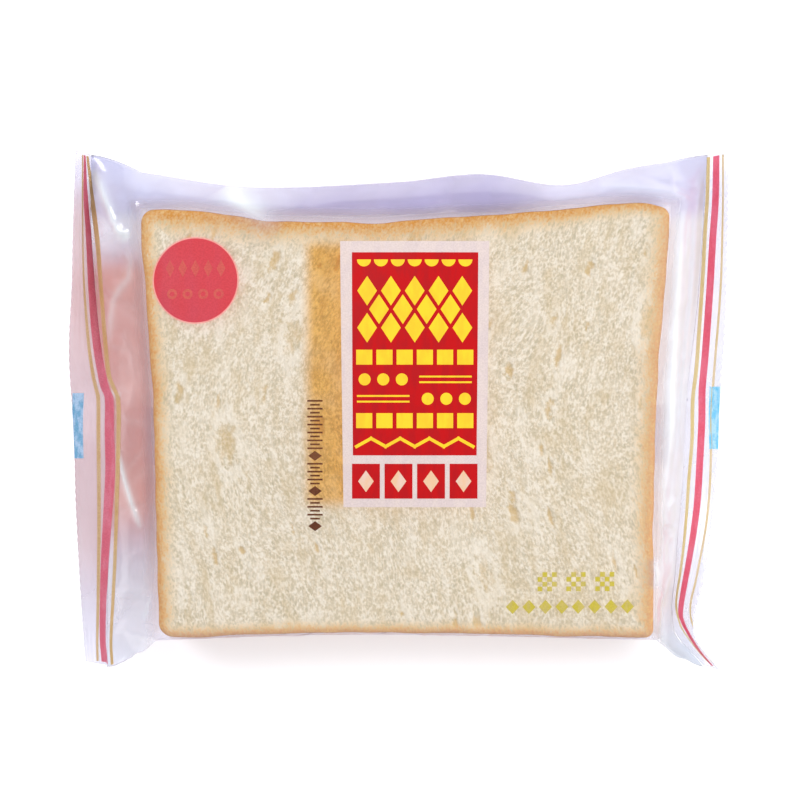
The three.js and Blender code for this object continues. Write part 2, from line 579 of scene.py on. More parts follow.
class Kit:
    """The pieces as they are made, each with the name of the slot that it is finished in."""

    def __init__(self) -> None:
        """Start with no piece."""
        self.pieces: list[tuple[bpy.types.Object, str]] = []

    def add(self, piece: bpy.types.Object, slot: str) -> bpy.types.Object:
        """Take in a piece in the form's own frame, and the name of its slot."""
        self.pieces.append((piece, slot))
        return piece

    def hang(self, shift: Vector) -> None:
        """Move every piece to its place and hang it on the body.

        Args:
            shift: from the form's own frame to the object's.
        """
        for piece, slot in self.pieces:
            piece.data.transform(Matrix.Translation(shift))
            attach(piece, BODY)
            log.info("%s: %d vertices", piece.name, len(piece.data.vertices))


@dataclass(frozen=True)
class BagForm:
    """The film's form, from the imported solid's sizes and drawn close round the slices' own outline.

    Along the bag a place is a share of a stretch. Across it v goes from -1 at the low fold to 1 at the high
    one. The tables of the outline give a place in millimetres and how far out the slices reach there. Those
    of the welds give v, the inner line's distance along the bag in millimetres and its tilt in degrees.
    """

    loaf_low_y: float = -57 * MM
    loaf_high_y: float = 50.5 * MM
    dome_middle: Pair = (2 * MM, -3.25 * MM)
    dome_half: Pair = (61.5 * MM, 53.75 * MM)
    left: Rows = ((-57.5, -60.2), (-50, -60.6), (-30, -61), (0, -61.8), (22, -63.2), (40, -64.5), (52, -65.3))
    right: Rows = ((-57.5, 63.9), (-48, 64), (-25, 64), (0, 64.7), (20, 66), (36, 67.3), (50, 68.3))
    bottom: Rows = ((-60, -57.4), (-48, -57), (-34, -56.4), (-10, -56), (20, -56.3), (48, -57), (64, -57.3))
    top: Rows = (
        (-64, 50.3), (-58, 50.5), (-50, 49.9), (-42, 49), (-33, 47.6), (-22, 47.5), (-8, 47), (8, 48.2),
        (27, 49.3), (43, 50.7), (55, 51.9), (62, 52), (68, 50.8))
    stack: float = 19.6 * MM
    gap: float = 0.3 * MM
    edge_radius: float = 1.2 * MM
    edge_steps: int = 6
    air_dome: float = 4.5 * MM
    air_rounding: float = 0.7
    tent_rounding: float = 0.47
    tent_length: float = 13 * MM
    panel_draw: float = 1.5
    panel_bulge: float = 0.3
    flat_width: float = 130 * MM
    weld_width: float = 8.5 * MM
    weld_thickness: float = 0.25 * MM
    fold_ridge: Rows = (
        (-66, 60.6), (-38, 56.8), (0, 58.1), (21, 60.1), (42, 57.3), (58, 61.4), (70, 63.4))
    left_weld: Rows = (
        (-1, -74.4, -44), (-0.4, -74.1, -16), (0, -74.2, 6), (0.4, -77.1, 54), (0.7, -78.5, 70),
        (1, -78.4, 74))
    right_weld: Rows = (
        (-1, 77.6, 74), (-0.86, 70.2, 64), (-0.62, 70.5, 36), (-0.2, 72.6, 12), (0.05, 73.3, 16),
        (0.45, 76.3, 44), (1, 78.6, 60))

    @property
    def half(self) -> float:
        """Half the height of the stack of slices in its film."""
        return self.stack / 2

    @property
    def middle_x(self) -> float:
        """The middle of the form's length, from one cut edge to the other."""
        v = np.linspace(-1, 1, 2001)
        ends = [self.weld(end, v, self.weld_width)[:, 0] for end in End]
        return float(min(ends[0]) + max(ends[1])) / 2

    def ridge_y(self, x: Any) -> Array:
        """Read how far out the high fold lies at a place along the bag."""
        return traced(self.fold_ridge, x)

    def side_x(self, y: Any, end: End) -> Array:
        """Read where the slices' side is, at a height up the loaf."""
        return traced(self.left if end is End.LEFT else self.right, y) + end.value * self.gap

    def edge_y(self, x: Any, high: bool) -> Array:
        """Read where the film turns round the slices' top crust, or round their base."""
        return traced(self.top, x) + self.gap if high else traced(self.bottom, x) - self.gap

    def outside(self, x: Array, y: Array) -> Array:
        """Read how far points lie outside the slices' outline, seen from above. Inside it is negative."""
        left, right = self.side_x(y, End.LEFT) - x, x - self.side_x(y, End.RIGHT)
        return np.maximum.reduce([left, right, y - self.edge_y(x, True), self.edge_y(x, False) - y])

    def lift(self, x: Any, y: Any) -> Array:
        """Read how far trapped air lifts the film over a point of the slices."""
        inside = 1.0
        for place, middle, half in zip((x, y), self.dome_middle, self.dome_half):
            inside = inside * np.maximum(0, 1 - ((place - middle) / half) ** 2)
        return self.air_dome * inside ** self.air_rounding

    def outline(self, step: float) -> Array:
        """Lay out the front half of the filled bag's outline, from its low fold to its high one.

        Args:
            step: about how far apart its points are.

        Returns:
            A row for each point: y up to the tent, a share of the tent, height above the middle, and v.
        """
        def steps(length: float) -> int:
            """Count the steps of a stretch."""
            return max(2, round(length / step))

        low, start = self.loaf_low_y - self.gap, self.loaf_high_y + self.gap
        half, r = self.half, self.edge_radius
        rows = [(low, 0.0, z) for z in np.linspace(0, half - r, steps(half - r), endpoint=False)]
        for angle in np.linspace(0, math.pi / 2, self.edge_steps, endpoint=False):
            rows.append((low + r * (1 - math.cos(angle)), 0.0, half - r + r * math.sin(angle)))
        rows += [(y, 0.0, half) for y in np.linspace(low + r, start, steps(start - low - r), endpoint=False)]
        for share in np.linspace(0, 1, steps(self.tent_length) + 1):
            bulge = 2 * self.tent_rounding * share * (1 - share)
            rows.append((start, share, half * (1 - share + bulge)))
        table = np.array(rows)
        tent_y = mix(table[:, 0], float(self.ridge_y(0.0)), table[:, 1])
        lengths = np.hypot(np.diff(tent_y), np.diff(table[:, 2]))
        v = np.concatenate([[0.0], np.cumsum(lengths)])
        return np.column_stack([table, 2 * v / v[-1] - 1])

    def filled(self, outline: Array, share: float, side: int) -> Array:
        """Place a ring's half over the slices.

        Args:
            outline: the outline's rows.
            share: of the way from the slices' left side to their right one.
            side: 1 for the front and -1 for the underside.

        Returns:
            The points.
        """
        y, tent, z = outline[:, 0], outline[:, 1], outline[:, 2]
        x = mix(self.side_x(y, End.LEFT), self.side_x(y, End.RIGHT), share)
        low, high = self.loaf_low_y - self.gap, self.loaf_high_y + self.gap
        up = (y - low) / (high - low)
        y = mix(mix(self.edge_y(x, False), self.edge_y(x, True), up), self.ridge_y(x), tent)
        lift = np.where((tent == 0) & (z > 0) & (side > 0), self.lift(x, y), 0.0)
        return np.column_stack([x, y, self.half + side * z + lift])

    def weld(self, end: End, v: Array, outwards: Any, off: Any = 0.0) -> Array:
        """Place points of a weld.

        Args:
            end: which weld.
            v: the places across.
            outwards: how far they are from its inner line, towards the cut edge.
            off: how far they are in front of its middle.

        Returns:
            The points.
        """
        rows = self.left_weld if end is End.LEFT else self.right_weld
        tilt = np.radians(through(rows, 2, v))
        x = through(rows, 1, v) * MM + end.value * (outwards * np.cos(tilt) - off * np.sin(tilt))
        z = self.half + outwards * np.sin(tilt) + off * np.cos(tilt)
        return np.column_stack([x, v * self.flat_width / 2, z])

    def panel(self, outline: Array, end: End, share: float, side: int) -> Array:
        """Place a ring's half between a weld and the slices, a share of the way from the weld."""
        v = outline[:, 3]
        folded = np.abs(v) >= 1 - 1e-9
        weld = self.weld(end, v, 0.0, np.where(folded, 0.0, side * self.weld_thickness / 2))
        filled = self.filled(outline, 0.0 if end is End.LEFT else 1.0, side)
        x = mix(weld[:, 0], filled[:, 0], share)
        y = mix(weld[:, 1], filled[:, 1], share ** self.panel_draw)
        z = mix(weld[:, 2], filled[:, 2], share * (1 + self.panel_bulge - self.panel_bulge * share))
        return np.column_stack([x, y, z])


@dataclass(frozen=True)
class Haze:
    """How milky the film looks and what painted light and shade it carries: over the slices it is clear, and
    where it is loose it takes up haze with painted lavender shade, warm shade, bluish reflection and sheen.

    Each stretch runs from where a place has nothing of it to where it has all of it, in millimetres.
    """

    form: BagForm
    loose_stretch: Pair = (-0.5, 3.5)
    high_stretch: Pair = (47, 52)
    left_stretch: Pair = (-58, -64)
    right_stretch: Pair = (60, 66)
    base_stretch: Pair = (-54, -57)
    body_low: Pair = (-50, -22)
    body_high: Pair = (34, 47)
    centre_x: float = 4
    centre_half: float = 36
    # Where the painted warm shade runs along the top, near the left end.
    blush_x: float = -52
    blush_half: float = 12
    base: float = 0.07
    clear: float = 0.02
    top: float = 0.56
    left: float = 0.56
    right: float = 0.48
    ends: float = 0.3
    corner: float = 0.57

    def at(self, points: Array) -> dict[str, Array]:
        """Read the haze and its painted tints at points of the film.

        Args:
            points: the points.

        Returns:
            The share of haze, and the shares of painted warm shade, of painted bluish reflection and of
            whitening and sheen in its colour.
        """
        x, y = points[:, 0] / MM, points[:, 1] / MM
        loose = smoothstep(*self.loose_stretch, self.form.outside(points[:, 0], points[:, 1]) / MM)
        high = smoothstep(*self.high_stretch, y)
        left = smoothstep(*self.left_stretch, x) * (1 - high)
        right = smoothstep(*self.right_stretch, x) * (1 - high)
        body = smoothstep(*self.body_low, y) * (1 - smoothstep(*self.body_high, y))
        centre = np.exp(-(((x - self.centre_x) / self.centre_half) ** 4))
        warm_shade_band = np.exp(-(((x - self.blush_x) / self.blush_half) ** 2))
        milk = (high * mix(self.corner, self.top, centre) + left * mix(self.ends, self.left, body)
                + right * self.right)
        # Painted warm shade beside the slices' left side, and faintly along the top near the left end.
        blush = left * mix(0.15, 1.0, body) + high * 0.12 * warm_shade_band
        # Painted bluish reflection on the right-hand panel, the low left and the ends of the top.
        mist = right * 0.9 + left * 0.7 * (1 - body) + high * 0.95 * (1 - centre)
        # A painted sheen on the right-hand panel and the low left.
        white = right * 0.7 + left * 0.55 * (1 - body)
        milk = self.clear + loose * milk + smoothstep(*self.base_stretch, y) * self.base
        return {"milk": milk, "blush": blush, "mist": np.clip(mist, 0, 1), "white": white}


@dataclass(frozen=True)
class Crease:
    """A crease of the film: a soft-shouldered ridge, or a valley where its height is negative. Its whitening
    share whitens the film along it, partly stress-whitening and partly a painted highlight.
    """

    path: Rows
    height: float
    width: float
    white: float = 0.0
    fade: float = 0.22

    def at(self, points: Array) -> Array:
        """Read how strongly the crease shows at points.

        Args:
            points: their places, in millimetres seen from above.

        Returns:
            A share from 0 to 1, which fades at the crease's ends.
        """
        path = np.asarray(self.path, float)
        lengths = np.linalg.norm(np.diff(path, axis=0), axis=1)
        starts = np.concatenate([[0], np.cumsum(lengths)])
        best = np.full(len(points), np.inf)
        place = np.zeros(len(points))
        for i, length in enumerate(lengths):
            along = (path[i + 1] - path[i]) / length
            t = np.clip((points - path[i]) @ along, 0, length)
            off = np.linalg.norm(points - path[i] - t[:, None] * along, axis=1)
            nearer = off < best
            best, place = np.where(nearer, off, best), np.where(nearer, starts[i] + t, place)
        fade = np.minimum(place, starts[-1] - place) / (self.fade * starts[-1])
        return np.sqrt(np.clip(fade, 0, 1)) / (1 + (best / self.width) ** 2) ** 1.5


@dataclass(frozen=True)
class Creases:
    """The film's creases: the ones that show clearly, and finer ones between the slices and the welds."""

    form: BagForm
    seed: int = 11
    fans: int = 15
    fan_stretch: Pair = (-54, 49)
    fan_heights: Pair = (0.12, 0.42)
    fan_widths: Pair = (0.7, 1.5)
    folds: int = 13
    fold_stretch: Pair = (-62, 66)
    fold_start: float = 50.0
    fold_heights: Pair = (0.15, 0.4)
    fold_widths: Pair = (1.2, 2.6)
    clear_ones: tuple[Crease, ...] = (
        Crease(((-78.1, 61.2), (-75.6, 55.6), (-73.6, 51.3), (-72, 47.5), (-70.3, 44.7), (-68, 43.7)),
               1.1, 1.1, 0.8),
        Crease(((-72, 46.5), (-69.8, 44.2), (-67.2, 43.4)), 0.7, 1.5, 1.0),
        Crease(((-70.5, 43), (-68.5, 40.4), (-67.2, 37.4), (-68, 32.9), (-70.5, 30.3), (-72.3, 27.8),
                (-73.3, 22.8), (-73.8, 16.4)), 0.55, 1.1, 0.3),
        Crease(((-71.5, 40), (-70.6, 36), (-70.8, 32)), -0.8, 2.2),
        Crease(((-70, 20), (-66.7, 14.7), (-65.2, 7.6), (-68, 0.5)), 0.5, 1.8, 0.1),
        Crease(((-71.5, -9.6), (-69.3, -17.7), (-67.5, -22.8), (-65.5, -27.8), (-64.7, -29.8)),
               0.7, 0.7, 0.7),
        Crease(((-64.7, -29.8), (-65.5, -34.1), (-65.7, -42)), 0.35, 1.0, 0.15),
        Crease(((-71, -22.8), (-71, -27.8), (-70, -37.9), (-71, -45.5)), -0.6, 1.8, 0.1),
        Crease(((-64.2, -53.1), (-62.9, -49.3), (-61.7, -45.5)), 0.5, 0.6, 0.6),
        Crease(((-71.5, -47.3), (-67.2, -45.5), (-62.9, -46)), 0.5, 1.2, 0.2),
        Crease(((-80, 5.6), (-77, 4.1), (-73, 4.2), (-70, 3.6)), 0.4, 0.8, 0.4),
        Crease(((73.6, 52.3), (73.6, 40.4), (73.1, 27.8), (72, 20.2), (71.3, 12.6), (70.8, 2.5), (70, -7.6),
                (69, -15.2), (68, -24)), -0.9, 1.0, 0.1),
        Crease(((75.3, 51.8), (75.1, 37.9), (74.1, 27.8), (73.1, 15.2), (71.8, 2.5), (71.3, -7.6)),
               0.5, 0.8, 0.4),
        Crease(((71, 50), (70.6, 36), (69.6, 20), (69, 6), (68.6, -8), (67.6, -20)), 0.9, 1.8, 0.8),
        Crease(((68, -24.8), (69, -23.5), (70.3, -22.2)), 0.6, 0.7, 0.5),
        Crease(((66.5, -29.8), (68.5, -30.1), (70.8, -29.3)), -0.7, 0.8, 0.2),
        Crease(((68, -32.9), (68, -39.2)), -0.6, 1.1),
        Crease(((70, -31), (69.4, -38), (69.8, -45)), 0.7, 1.0, 0.6),
        Crease(((66.5, -46.8), (67.2, -51.8), (69, -56.1)), -0.6, 1.4),
        Crease(((63.4, -37), (64.6, -41), (64, -45)), 0.5, 1.3, 0.9),
        Crease(((-44, 57), (-39, 51.5), (-35, 48), (-30, 44.4)), -0.1, 2.6, 0.75),
        Crease(((-17.4, 50.8), (0.3, 50.8), (17.9, 51.3), (35.5, 52.8)), -0.7, 1.6),
        Crease(((-62.6, 52.1), (-52.6, 51.8), (-40, 50)), -0.4, 1.3),
        Crease(((50.6, 56.6), (60.6, 55.3), (73.2, 53.6)), 0.5, 1.2, 0.2),
        Crease(((58, 60.5), (66, 57), (76, 54.6)), -0.5, 1.2),
    )

    def all(self) -> list[Crease]:
        """List every crease, the finer ones drawn at random from a fixed seed."""
        form, draw = self.form, np.random.default_rng(self.seed)
        made = list(self.clear_ones)
        for end in End:
            for i in range(self.fans):
                y = mix(*self.fan_stretch, (i + draw.uniform(0.2, 0.8)) / self.fans)
                v = np.clip(y / 58 + draw.normal(0, 0.09), -0.97, 0.97)
                inner = form.weld(end, np.array([v]), 0.0)[0] / MM
                side = float(form.side_x(y * MM, end)) / MM
                start = np.array([side - end.value * draw.uniform(-0.5, 2.5), y])
                height = draw.uniform(*self.fan_heights) * draw.choice((-1, 1))
                made.append(Crease((start, mix(start, inner[:2], 0.55) + draw.normal(0, 0.5, 2), inner[:2]),
                                   height, draw.uniform(*self.fan_widths), 0.08))
        for i in range(self.folds):
            x = mix(*self.fold_stretch, (i + draw.uniform(0.2, 0.8)) / self.folds)
            ridge = float(form.ridge_y(x * MM)) / MM
            path = ((x, ridge), (x + draw.normal(0, 2.5), self.fold_start))
            height = draw.uniform(*self.fold_heights) * draw.choice((-1, 1))
            made.append(Crease(path, height, draw.uniform(*self.fold_widths)))
        return made


@dataclass
class FilmSheet:
    """The loose film between the welds: a tube, as rings of points from the left weld to the right one."""

    form: BagForm
    haze: Haze
    finish: bpy.types.Material
    step: float = 1.4 * MM
    loaf_length: float = 132 * MM
    panel_steps: int = 11
    held_rings: int = 5
    clearance: float = 0.02 * MM
    walk_rings: int = 60
    lowest: float = 0.12 * MM
    wave: float = 0.45 * MM
    base_wrinkle: float = 1.3 * MM
    rings: Array = field(init=False)
    places: int = field(init=False)
    v: Array = field(init=False)
    # How much each point is whitened along a crease, partly stress-whitening and partly painted highlight.
    whitened: Array = field(init=False)

    def __post_init__(self) -> None:
        """Lay the rings out."""
        outline = self.form.outline(self.step)
        self.v = outline[:, 3]
        self.places = len(outline)
        shares = np.linspace(0, 1, self.panel_steps, endpoint=False)
        filled = np.linspace(0, 1, round(self.loaf_length / self.step) + 1)
        form = self.form
        self.rings = np.array([
            *(self._ring(lambda side, s=s: form.panel(outline, End.LEFT, s, side)) for s in shares),
            *(self._ring(lambda side, s=s: form.filled(outline, s, side)) for s in filled),
            *(self._ring(lambda side, s=s: form.panel(outline, End.RIGHT, s, side)) for s in shares[::-1])])
        self._refine()
        self.whitened = np.zeros(self.rings.shape[:2])
        self._crease()
        self.rings[:, :, 2] = np.maximum(self.rings[:, :, 2], self.lowest)

    @staticmethod
    def _ring(half: Callable[[int], Array]) -> Array:
        """Join a front half and an underside half into one closed ring."""
        return np.concatenate([half(1), half(-1)[-2:0:-1]])

    def _refine(self) -> None:
        """Halve the spacing both ways, on a smooth surface through the same points."""
        ring = self.rings
        around = (-np.roll(ring, 1, 1) + 9 * ring + 9 * np.roll(ring, -1, 1) - np.roll(ring, -2, 1)) / 16
        ring = np.stack([ring, around], 2).reshape(len(ring), -1, 3)
        padded = np.concatenate([2 * ring[:1] - ring[1:2], ring, 2 * ring[-1:] - ring[-2:-1]])
        between = (-padded[:-3] + 9 * padded[1:-2] + 9 * padded[2:-1] - padded[3:]) / 16
        fine = np.empty((2 * len(ring) - 1, ring.shape[1], 3))
        fine[::2], fine[1::2] = ring, between
        self.rings = fine
        self.v = np.interp(np.arange(2 * self.places - 1) / 2, np.arange(self.places), self.v)
        self.places = 2 * self.places - 1

    def _crease(self) -> None:
        """Press the creases and soft waves into the front, keep it clear of the slices, and gather the
        whitening along the creases, which is partly stress-whitening and partly painted highlight.
        """
        count = len(self.rings)
        front = self.front().reshape(-1, 3)
        plan = front[:, :2] / MM
        outside = self.form.outside(front[:, 0], front[:, 1]) / MM
        fold = np.tile(1 - np.abs(self.v) ** 30, count)
        from_weld = np.minimum(np.arange(count), np.arange(count)[::-1])
        held = fold * np.clip(np.repeat(from_weld / self.held_rings, self.places), 0, 1)
        rise, white = np.zeros(len(front)), np.zeros(len(front))
        for crease in Creases(self.form).all():
            shown = crease.at(plan)
            rise += crease.height * MM * shown
            white = np.maximum(white, crease.white * shown ** 0.7)
        loose = smoothstep(-3.0, 3.0, outside)
        waves = np.array([noise.noise(Vector((x / 9, y / 14, 5.0))) for x, y in plan])
        rise += waves * self.wave * (0.25 + loose)
        front[:, 2] += rise * held
        over_slices = (outside < -0.2) & (front[:, 2] > self.form.half)
        front[:, 2] = np.maximum(front[:, 2], np.where(over_slices, self.form.stack + self.clearance, 0))
        self.rings[:, :self.places] = front.reshape(count, self.places, 3)
        self._wrinkle_base()
        self.whitened[:, :self.places] = (white * (0.4 + 0.6 * loose)).reshape(count, self.places)

    def _wrinkle_base(self) -> None:
        """Let the tight film stand off the slices' base in small wrinkles."""
        x, y, z = np.moveaxis(self.rings / MM, 2, 0)
        at_base = np.clip((-52 - y) / 3, 0, 1) * np.clip(np.sin(np.pi * z * MM / self.form.stack), 0, 1)
        places = zip(x.ravel(), z.ravel())
        ridges = np.array([noise.noise(Vector((p / 4.5 + q / 9, q / 22, 2.0))) for p, q in places])
        self.rings[:, :, 1] -= at_base * np.abs(ridges.reshape(x.shape)) * self.base_wrinkle

    def build(self) -> bpy.types.Object:
        """Make the film's mesh.

        Returns:
            The object.
        """
        count, around = self.rings.shape[:2]
        film = make_object("film", self.rings, grid_faces(count, around, closed=True), self.finish)
        shown = self.haze.at(self.rings.reshape(-1, 3))
        white = self.whitened.ravel()
        # Along the creases the film turns milkier and whiter: partly stress-whitening, partly a painted
        # highlight.
        shown["milk"] = mix(shown["milk"], 0.75, np.minimum(white * 0.8, 1))
        shown["white"] = np.maximum(shown["white"], np.minimum(white * 1.3, 1))
        store(film.data, **shown)
        return film

    def front(self) -> Array:
        """Give the front half of each ring, from the low fold to the high one."""
        return self.rings[:, :self.places]

    def inward(self, end: End, distance: float) -> Array:
        """Walk in from a weld over the front of the film.

        Args:
            end: which weld.
            distance: how far to walk, along the film.

        Returns:
            The point that is reached from each place across.
        """
        sheet = self.front() if end is End.LEFT else self.front()[::-1]
        reached = np.empty((self.places, 3))
        for k in range(self.places):
            line = sheet[:self.walk_rings, k]
            walked = np.concatenate([[0], np.cumsum(np.linalg.norm(np.diff(line, axis=0), axis=1))])
            reached[k] = [np.interp(distance, walked, line[:, axis]) for axis in range(3)]
        return reached


@dataclass
class Weld:
    """A crimped weld across one end of the bag, with a serrated cut edge."""

    form: BagForm
    end: End
    finish: bpy.types.Material
    width: float
    tooth_height: float
    places: int = 520
    rows: int = 26
    ribs: float = 6.0
    tooth_pitch: float = 2.1 * MM
    rib_height: float = 0.025 * MM

    def point(self, v: Array, outwards: Any, off: Any = 0.0) -> Array:
        """Place points on the crimped weld."""
        rib = self.rib_height * np.sin(2 * math.pi * self.ribs * outwards / self.width)
        return self.form.weld(self.end, v, outwards, off + rib)

    def build(self) -> bpy.types.Object:
        """Make the weld's mesh.

        Returns:
            The object.
        """
        v = np.linspace(-1, 1, self.places)
        teeth = (v + 1) / 2 * self.form.flat_width / self.tooth_pitch
        reach = self.width + self.tooth_height * (np.cos(2 * math.pi * teeth) - 1) / 2
        thick, shares = self.form.weld_thickness / 2, np.linspace(0, 1, self.rows)
        points = np.array([self.point(v, reach * share, thick) for share in shares]
                          + [self.point(v, reach * share, -thick) for share in shares[::-1]])
        faces = grid_faces(2 * self.rows, self.places)
        rings = range(2 * self.rows)
        faces.append(tuple(r * self.places for r in reversed(rings)))
        faces.append(tuple(r * self.places + self.places - 1 for r in rings))
        back = (2 * self.rows - 1) * self.places
        faces += [(back + c, c, c + 1, back + c + 1) for c in range(self.places - 1)]
        if self.end is End.LEFT:
            faces = turned(faces)
        made = make_object(f"weld_{self.end.side}", points, faces, self.finish)
        self._tint(made.data, np.tile(v, 2 * self.rows))
        return made

    def _tint(self, mesh: bpy.types.Mesh, v: Array) -> None:
        """Store how milky the weld is at each place across, and the painted warm shade, bluish reflection and
        sheen in its colour.
        """
        if self.end is End.RIGHT:
            store(mesh, milk=0.3, blush=0.3, mist=0.7, white=0.55)
            return
        body = smoothstep(-0.95, -0.5, v) * (1 - smoothstep(0.75, 0.98, v))
        store(mesh, milk=mix(0.28, 0.5, body), blush=0.35 + body * 0.5, mist=0.6 - 0.5 * body, white=0.25)


@dataclass(frozen=True)
class PoreKind:
    """One kind of pore in the crumb: its spacing, how many cells have none, its draw, depth and lip."""

    cell: float
    least: float
    draw: float = 1.0
    depth: float = 1.0
    lip: float = 1.0


@dataclass
class BreadSlice:
    """A slice of tin bread, cut face up or down."""

    name: str
    form: BagForm
    facing: Facing
    low: float
    thickness: float
    finish: bpy.types.Material
    step: float = 0.5 * MM
    seed: float = 3.0
    width: float = 130 * MM
    inset: float = 0.4 * MM
    corners: tuple[float, float, float, float] = (3.4 * MM, 2.0 * MM, 2.0 * MM, 3.0 * MM)
    rim: float = 0.75 * MM
    rim_width: float = 1.5 * MM
    crust_depths: tuple[float, float, float] = (2.2 * MM, 4.0 * MM, 3.2 * MM)
    crust_top: Rows = ((-66, 5.6), (-42, 5.4), (-27, 4.7), (18, 4.6), (40, 3.4), (62, 2.2))
    bakes: tuple[float, float, float, float] = (0.25, 0.3, 1.0, 0.7)
    wall_steps: int = 10
    wall_bulge: float = 0.4 * MM
    groove: float = 0.9 * MM
    wander: float = 0.45 * MM
    wander_length: float = 9.0
    sway: float = 3.5 * MM
    sway_scale: float = 24.0
    swirl: float = 0.8 * MM
    swirl_scale: float = 60.0
    leans: Pair = (0.16, -0.2)
    grain_draw: float = 0.62
    foam_cell: float = 1.9 * MM
    foam_depth: float = 0.1 * MM
    roughness: float = 0.09 * MM
    roughness_scale: float = 900.0
    pore_depth: float = 0.4 * MM
    pores: tuple[PoreKind, ...] = (
        PoreKind(7 * MM, -0.35), PoreKind(15 * MM, 0.1, depth=0.55, lip=1.4),
        PoreKind(4.2 * MM, -0.25, draw=0.6))
    wall_crust: float = 1.7

    def _shares(self, length: float) -> Array:
        """Spread grid lines over a length, closer where the corners turn."""
        corner = max(self.corners)
        turns = corner * (1 - np.cos(np.linspace(0, math.pi / 2, 9, endpoint=False)))
        middle = np.linspace(corner, length - corner, round((length - 2 * corner) / self.step))
        return np.concatenate([turns, middle, (length - turns)[::-1]]) / length

    @staticmethod
    def _inset(radius: float, near: Array) -> Array:
        """Read how far a rounded corner draws the side in, at a distance from the end it turns into."""
        short = radius - np.minimum(near, radius)
        return radius - np.sqrt(np.maximum(radius ** 2 - short ** 2, 0))

    def _plan(self) -> tuple[Array, Array]:
        """Lay out the face's grid: x and y of each vertex, by row up the loaf and column across it."""
        form, inset = self.form, self.inset
        low, high = form.bottom[0][1] * MM, form.top[0][1] * MM
        height = high - low
        b = self._shares(height)
        a = np.linspace(0, 1, round(self.width / self.step))
        below, above = b * height, (1 - b) * height
        y = mix(low, high, b)
        low_left, low_right, high_right, high_left = self.corners
        left = traced(form.left, y) + self._inset(low_left, below) + self._inset(high_left, above)
        right = traced(form.right, y) - self._inset(low_right, below) - self._inset(high_right, above)
        left, right = left + self._uneven(y, 0.0), right + self._uneven(y, 50.0)
        x = mix(left[:, None] + inset, right[:, None] - inset, a[None, :])
        across_low = traced(form.bottom, x) + inset + self._uneven(x, 100.0)
        across_high = traced(form.top, x) - inset + self._uneven(x, 150.0)
        return x, mix(across_low, across_high, b[:, None])

    def _uneven(self, place: Array, start: float) -> Array:
        """Read how far the baked edge wanders at places along a side."""
        steps = np.ravel(place) / MM / self.wander_length
        wander = [noise.noise(Vector((p, start, self.seed))) for p in steps]
        return self.wander * np.reshape(wander, np.shape(place))

    @staticmethod
    def _border(rows: int, columns: int) -> list[int]:
        """List the vertices round the face's grid, turning to the left seen from above."""
        ring = list(range(columns))
        ring += [r * columns + columns - 1 for r in range(1, rows)]
        ring += [(rows - 1) * columns + c for c in range(columns - 2, -1, -1)]
        return ring + [r * columns for r in range(rows - 2, 0, -1)]

    def _flow(self, x: Array, y: Array) -> Array:
        """Turn places on the face into places along the crumb's grain, which sways as the dough rose.

        Args:
            x, y: the places.

        Returns:
            A row for each point: across the grain, along it, and a slow third coordinate.
        """
        sway, swirl = (
            np.array([noise.noise(Vector((p * scale, q * scale, seed))) for p, q in zip(x, y)])
            for scale, seed in ((self.sway_scale, self.seed), (self.swirl_scale, self.seed + 4)))
        lean = mix(*self.leans, smoothstep(-50 * MM, 45 * MM, y))
        across = x + lean * y + self.sway * sway + self.swirl * swirl
        lengthways = self.grain_draw * (y + 2.5 * MM * swirl)
        return np.column_stack([across, lengthways, 0.15 * (x + y) + self.seed * 0.1])

    def _relief(self, flow: Array) -> tuple[Array, Array]:
        """Read the crumb at points of the face.

        Args:
            flow: their places along the grain.

        Returns:
            How deep the face lies there, and how far that is in a pore: up to 1, and below 0 on its lip.
        """
        depth, pore = np.zeros(len(flow)), np.zeros(len(flow))
        for i, (u, w, _) in enumerate(flow):
            near, _ = noise.voronoi(Vector((u / self.foam_cell, w / self.foam_cell, self.seed)))
            foam = min(1.0, (near[1] - near[0]) / 0.5)
            place = Vector((u * self.roughness_scale, w * self.roughness_scale, self.seed))
            rough = noise.fractal(place, 1.0, 2.0, 3)
            found = [self._pore(u, kind.draw * w, rough, kind) for kind in self.pores]
            hole = max(inside for inside, _ in found)
            depth[i] = self.foam_depth * foam + self.pore_depth * hole + self.roughness * rough
            pore[i] = hole - 0.5 * max(lip for _, lip in found)
        return depth, pore

    def _pore(self, u: float, w: float, rough: float, kind: PoreKind) -> Pair:
        """Look for a pore at a place.

        Args:
            u, w: the place, across the grain and along it.
            rough: how far its edge is roughened there.
            kind: what pores are looked for. Its least is from -1 to 1.

        Returns:
            How deep the place lies inside a pore, and how far on the ring round it, which the bread's colour
            paints lighter as a highlight.
        """
        away, centres = noise.voronoi(Vector((u / kind.cell, 0.7 * w / kind.cell, self.seed + 9 + kind.cell)))
        chosen = noise.cell(centres[0] * 31 + Vector((0.5, 0.5, 0.5)))
        if chosen <= kind.least:
            return 0.0, 0.0
        size = 0.13 + 0.11 * chosen
        off = away[0] + 0.1 * rough
        lip = smoothstep(size * 0.8, size, off) * (1 - smoothstep(size, size + 0.14, off))
        inside = 1 - smoothstep(size * 0.3, size * 1.1, off)
        return kind.depth * float(inside), kind.lip * float(lip)

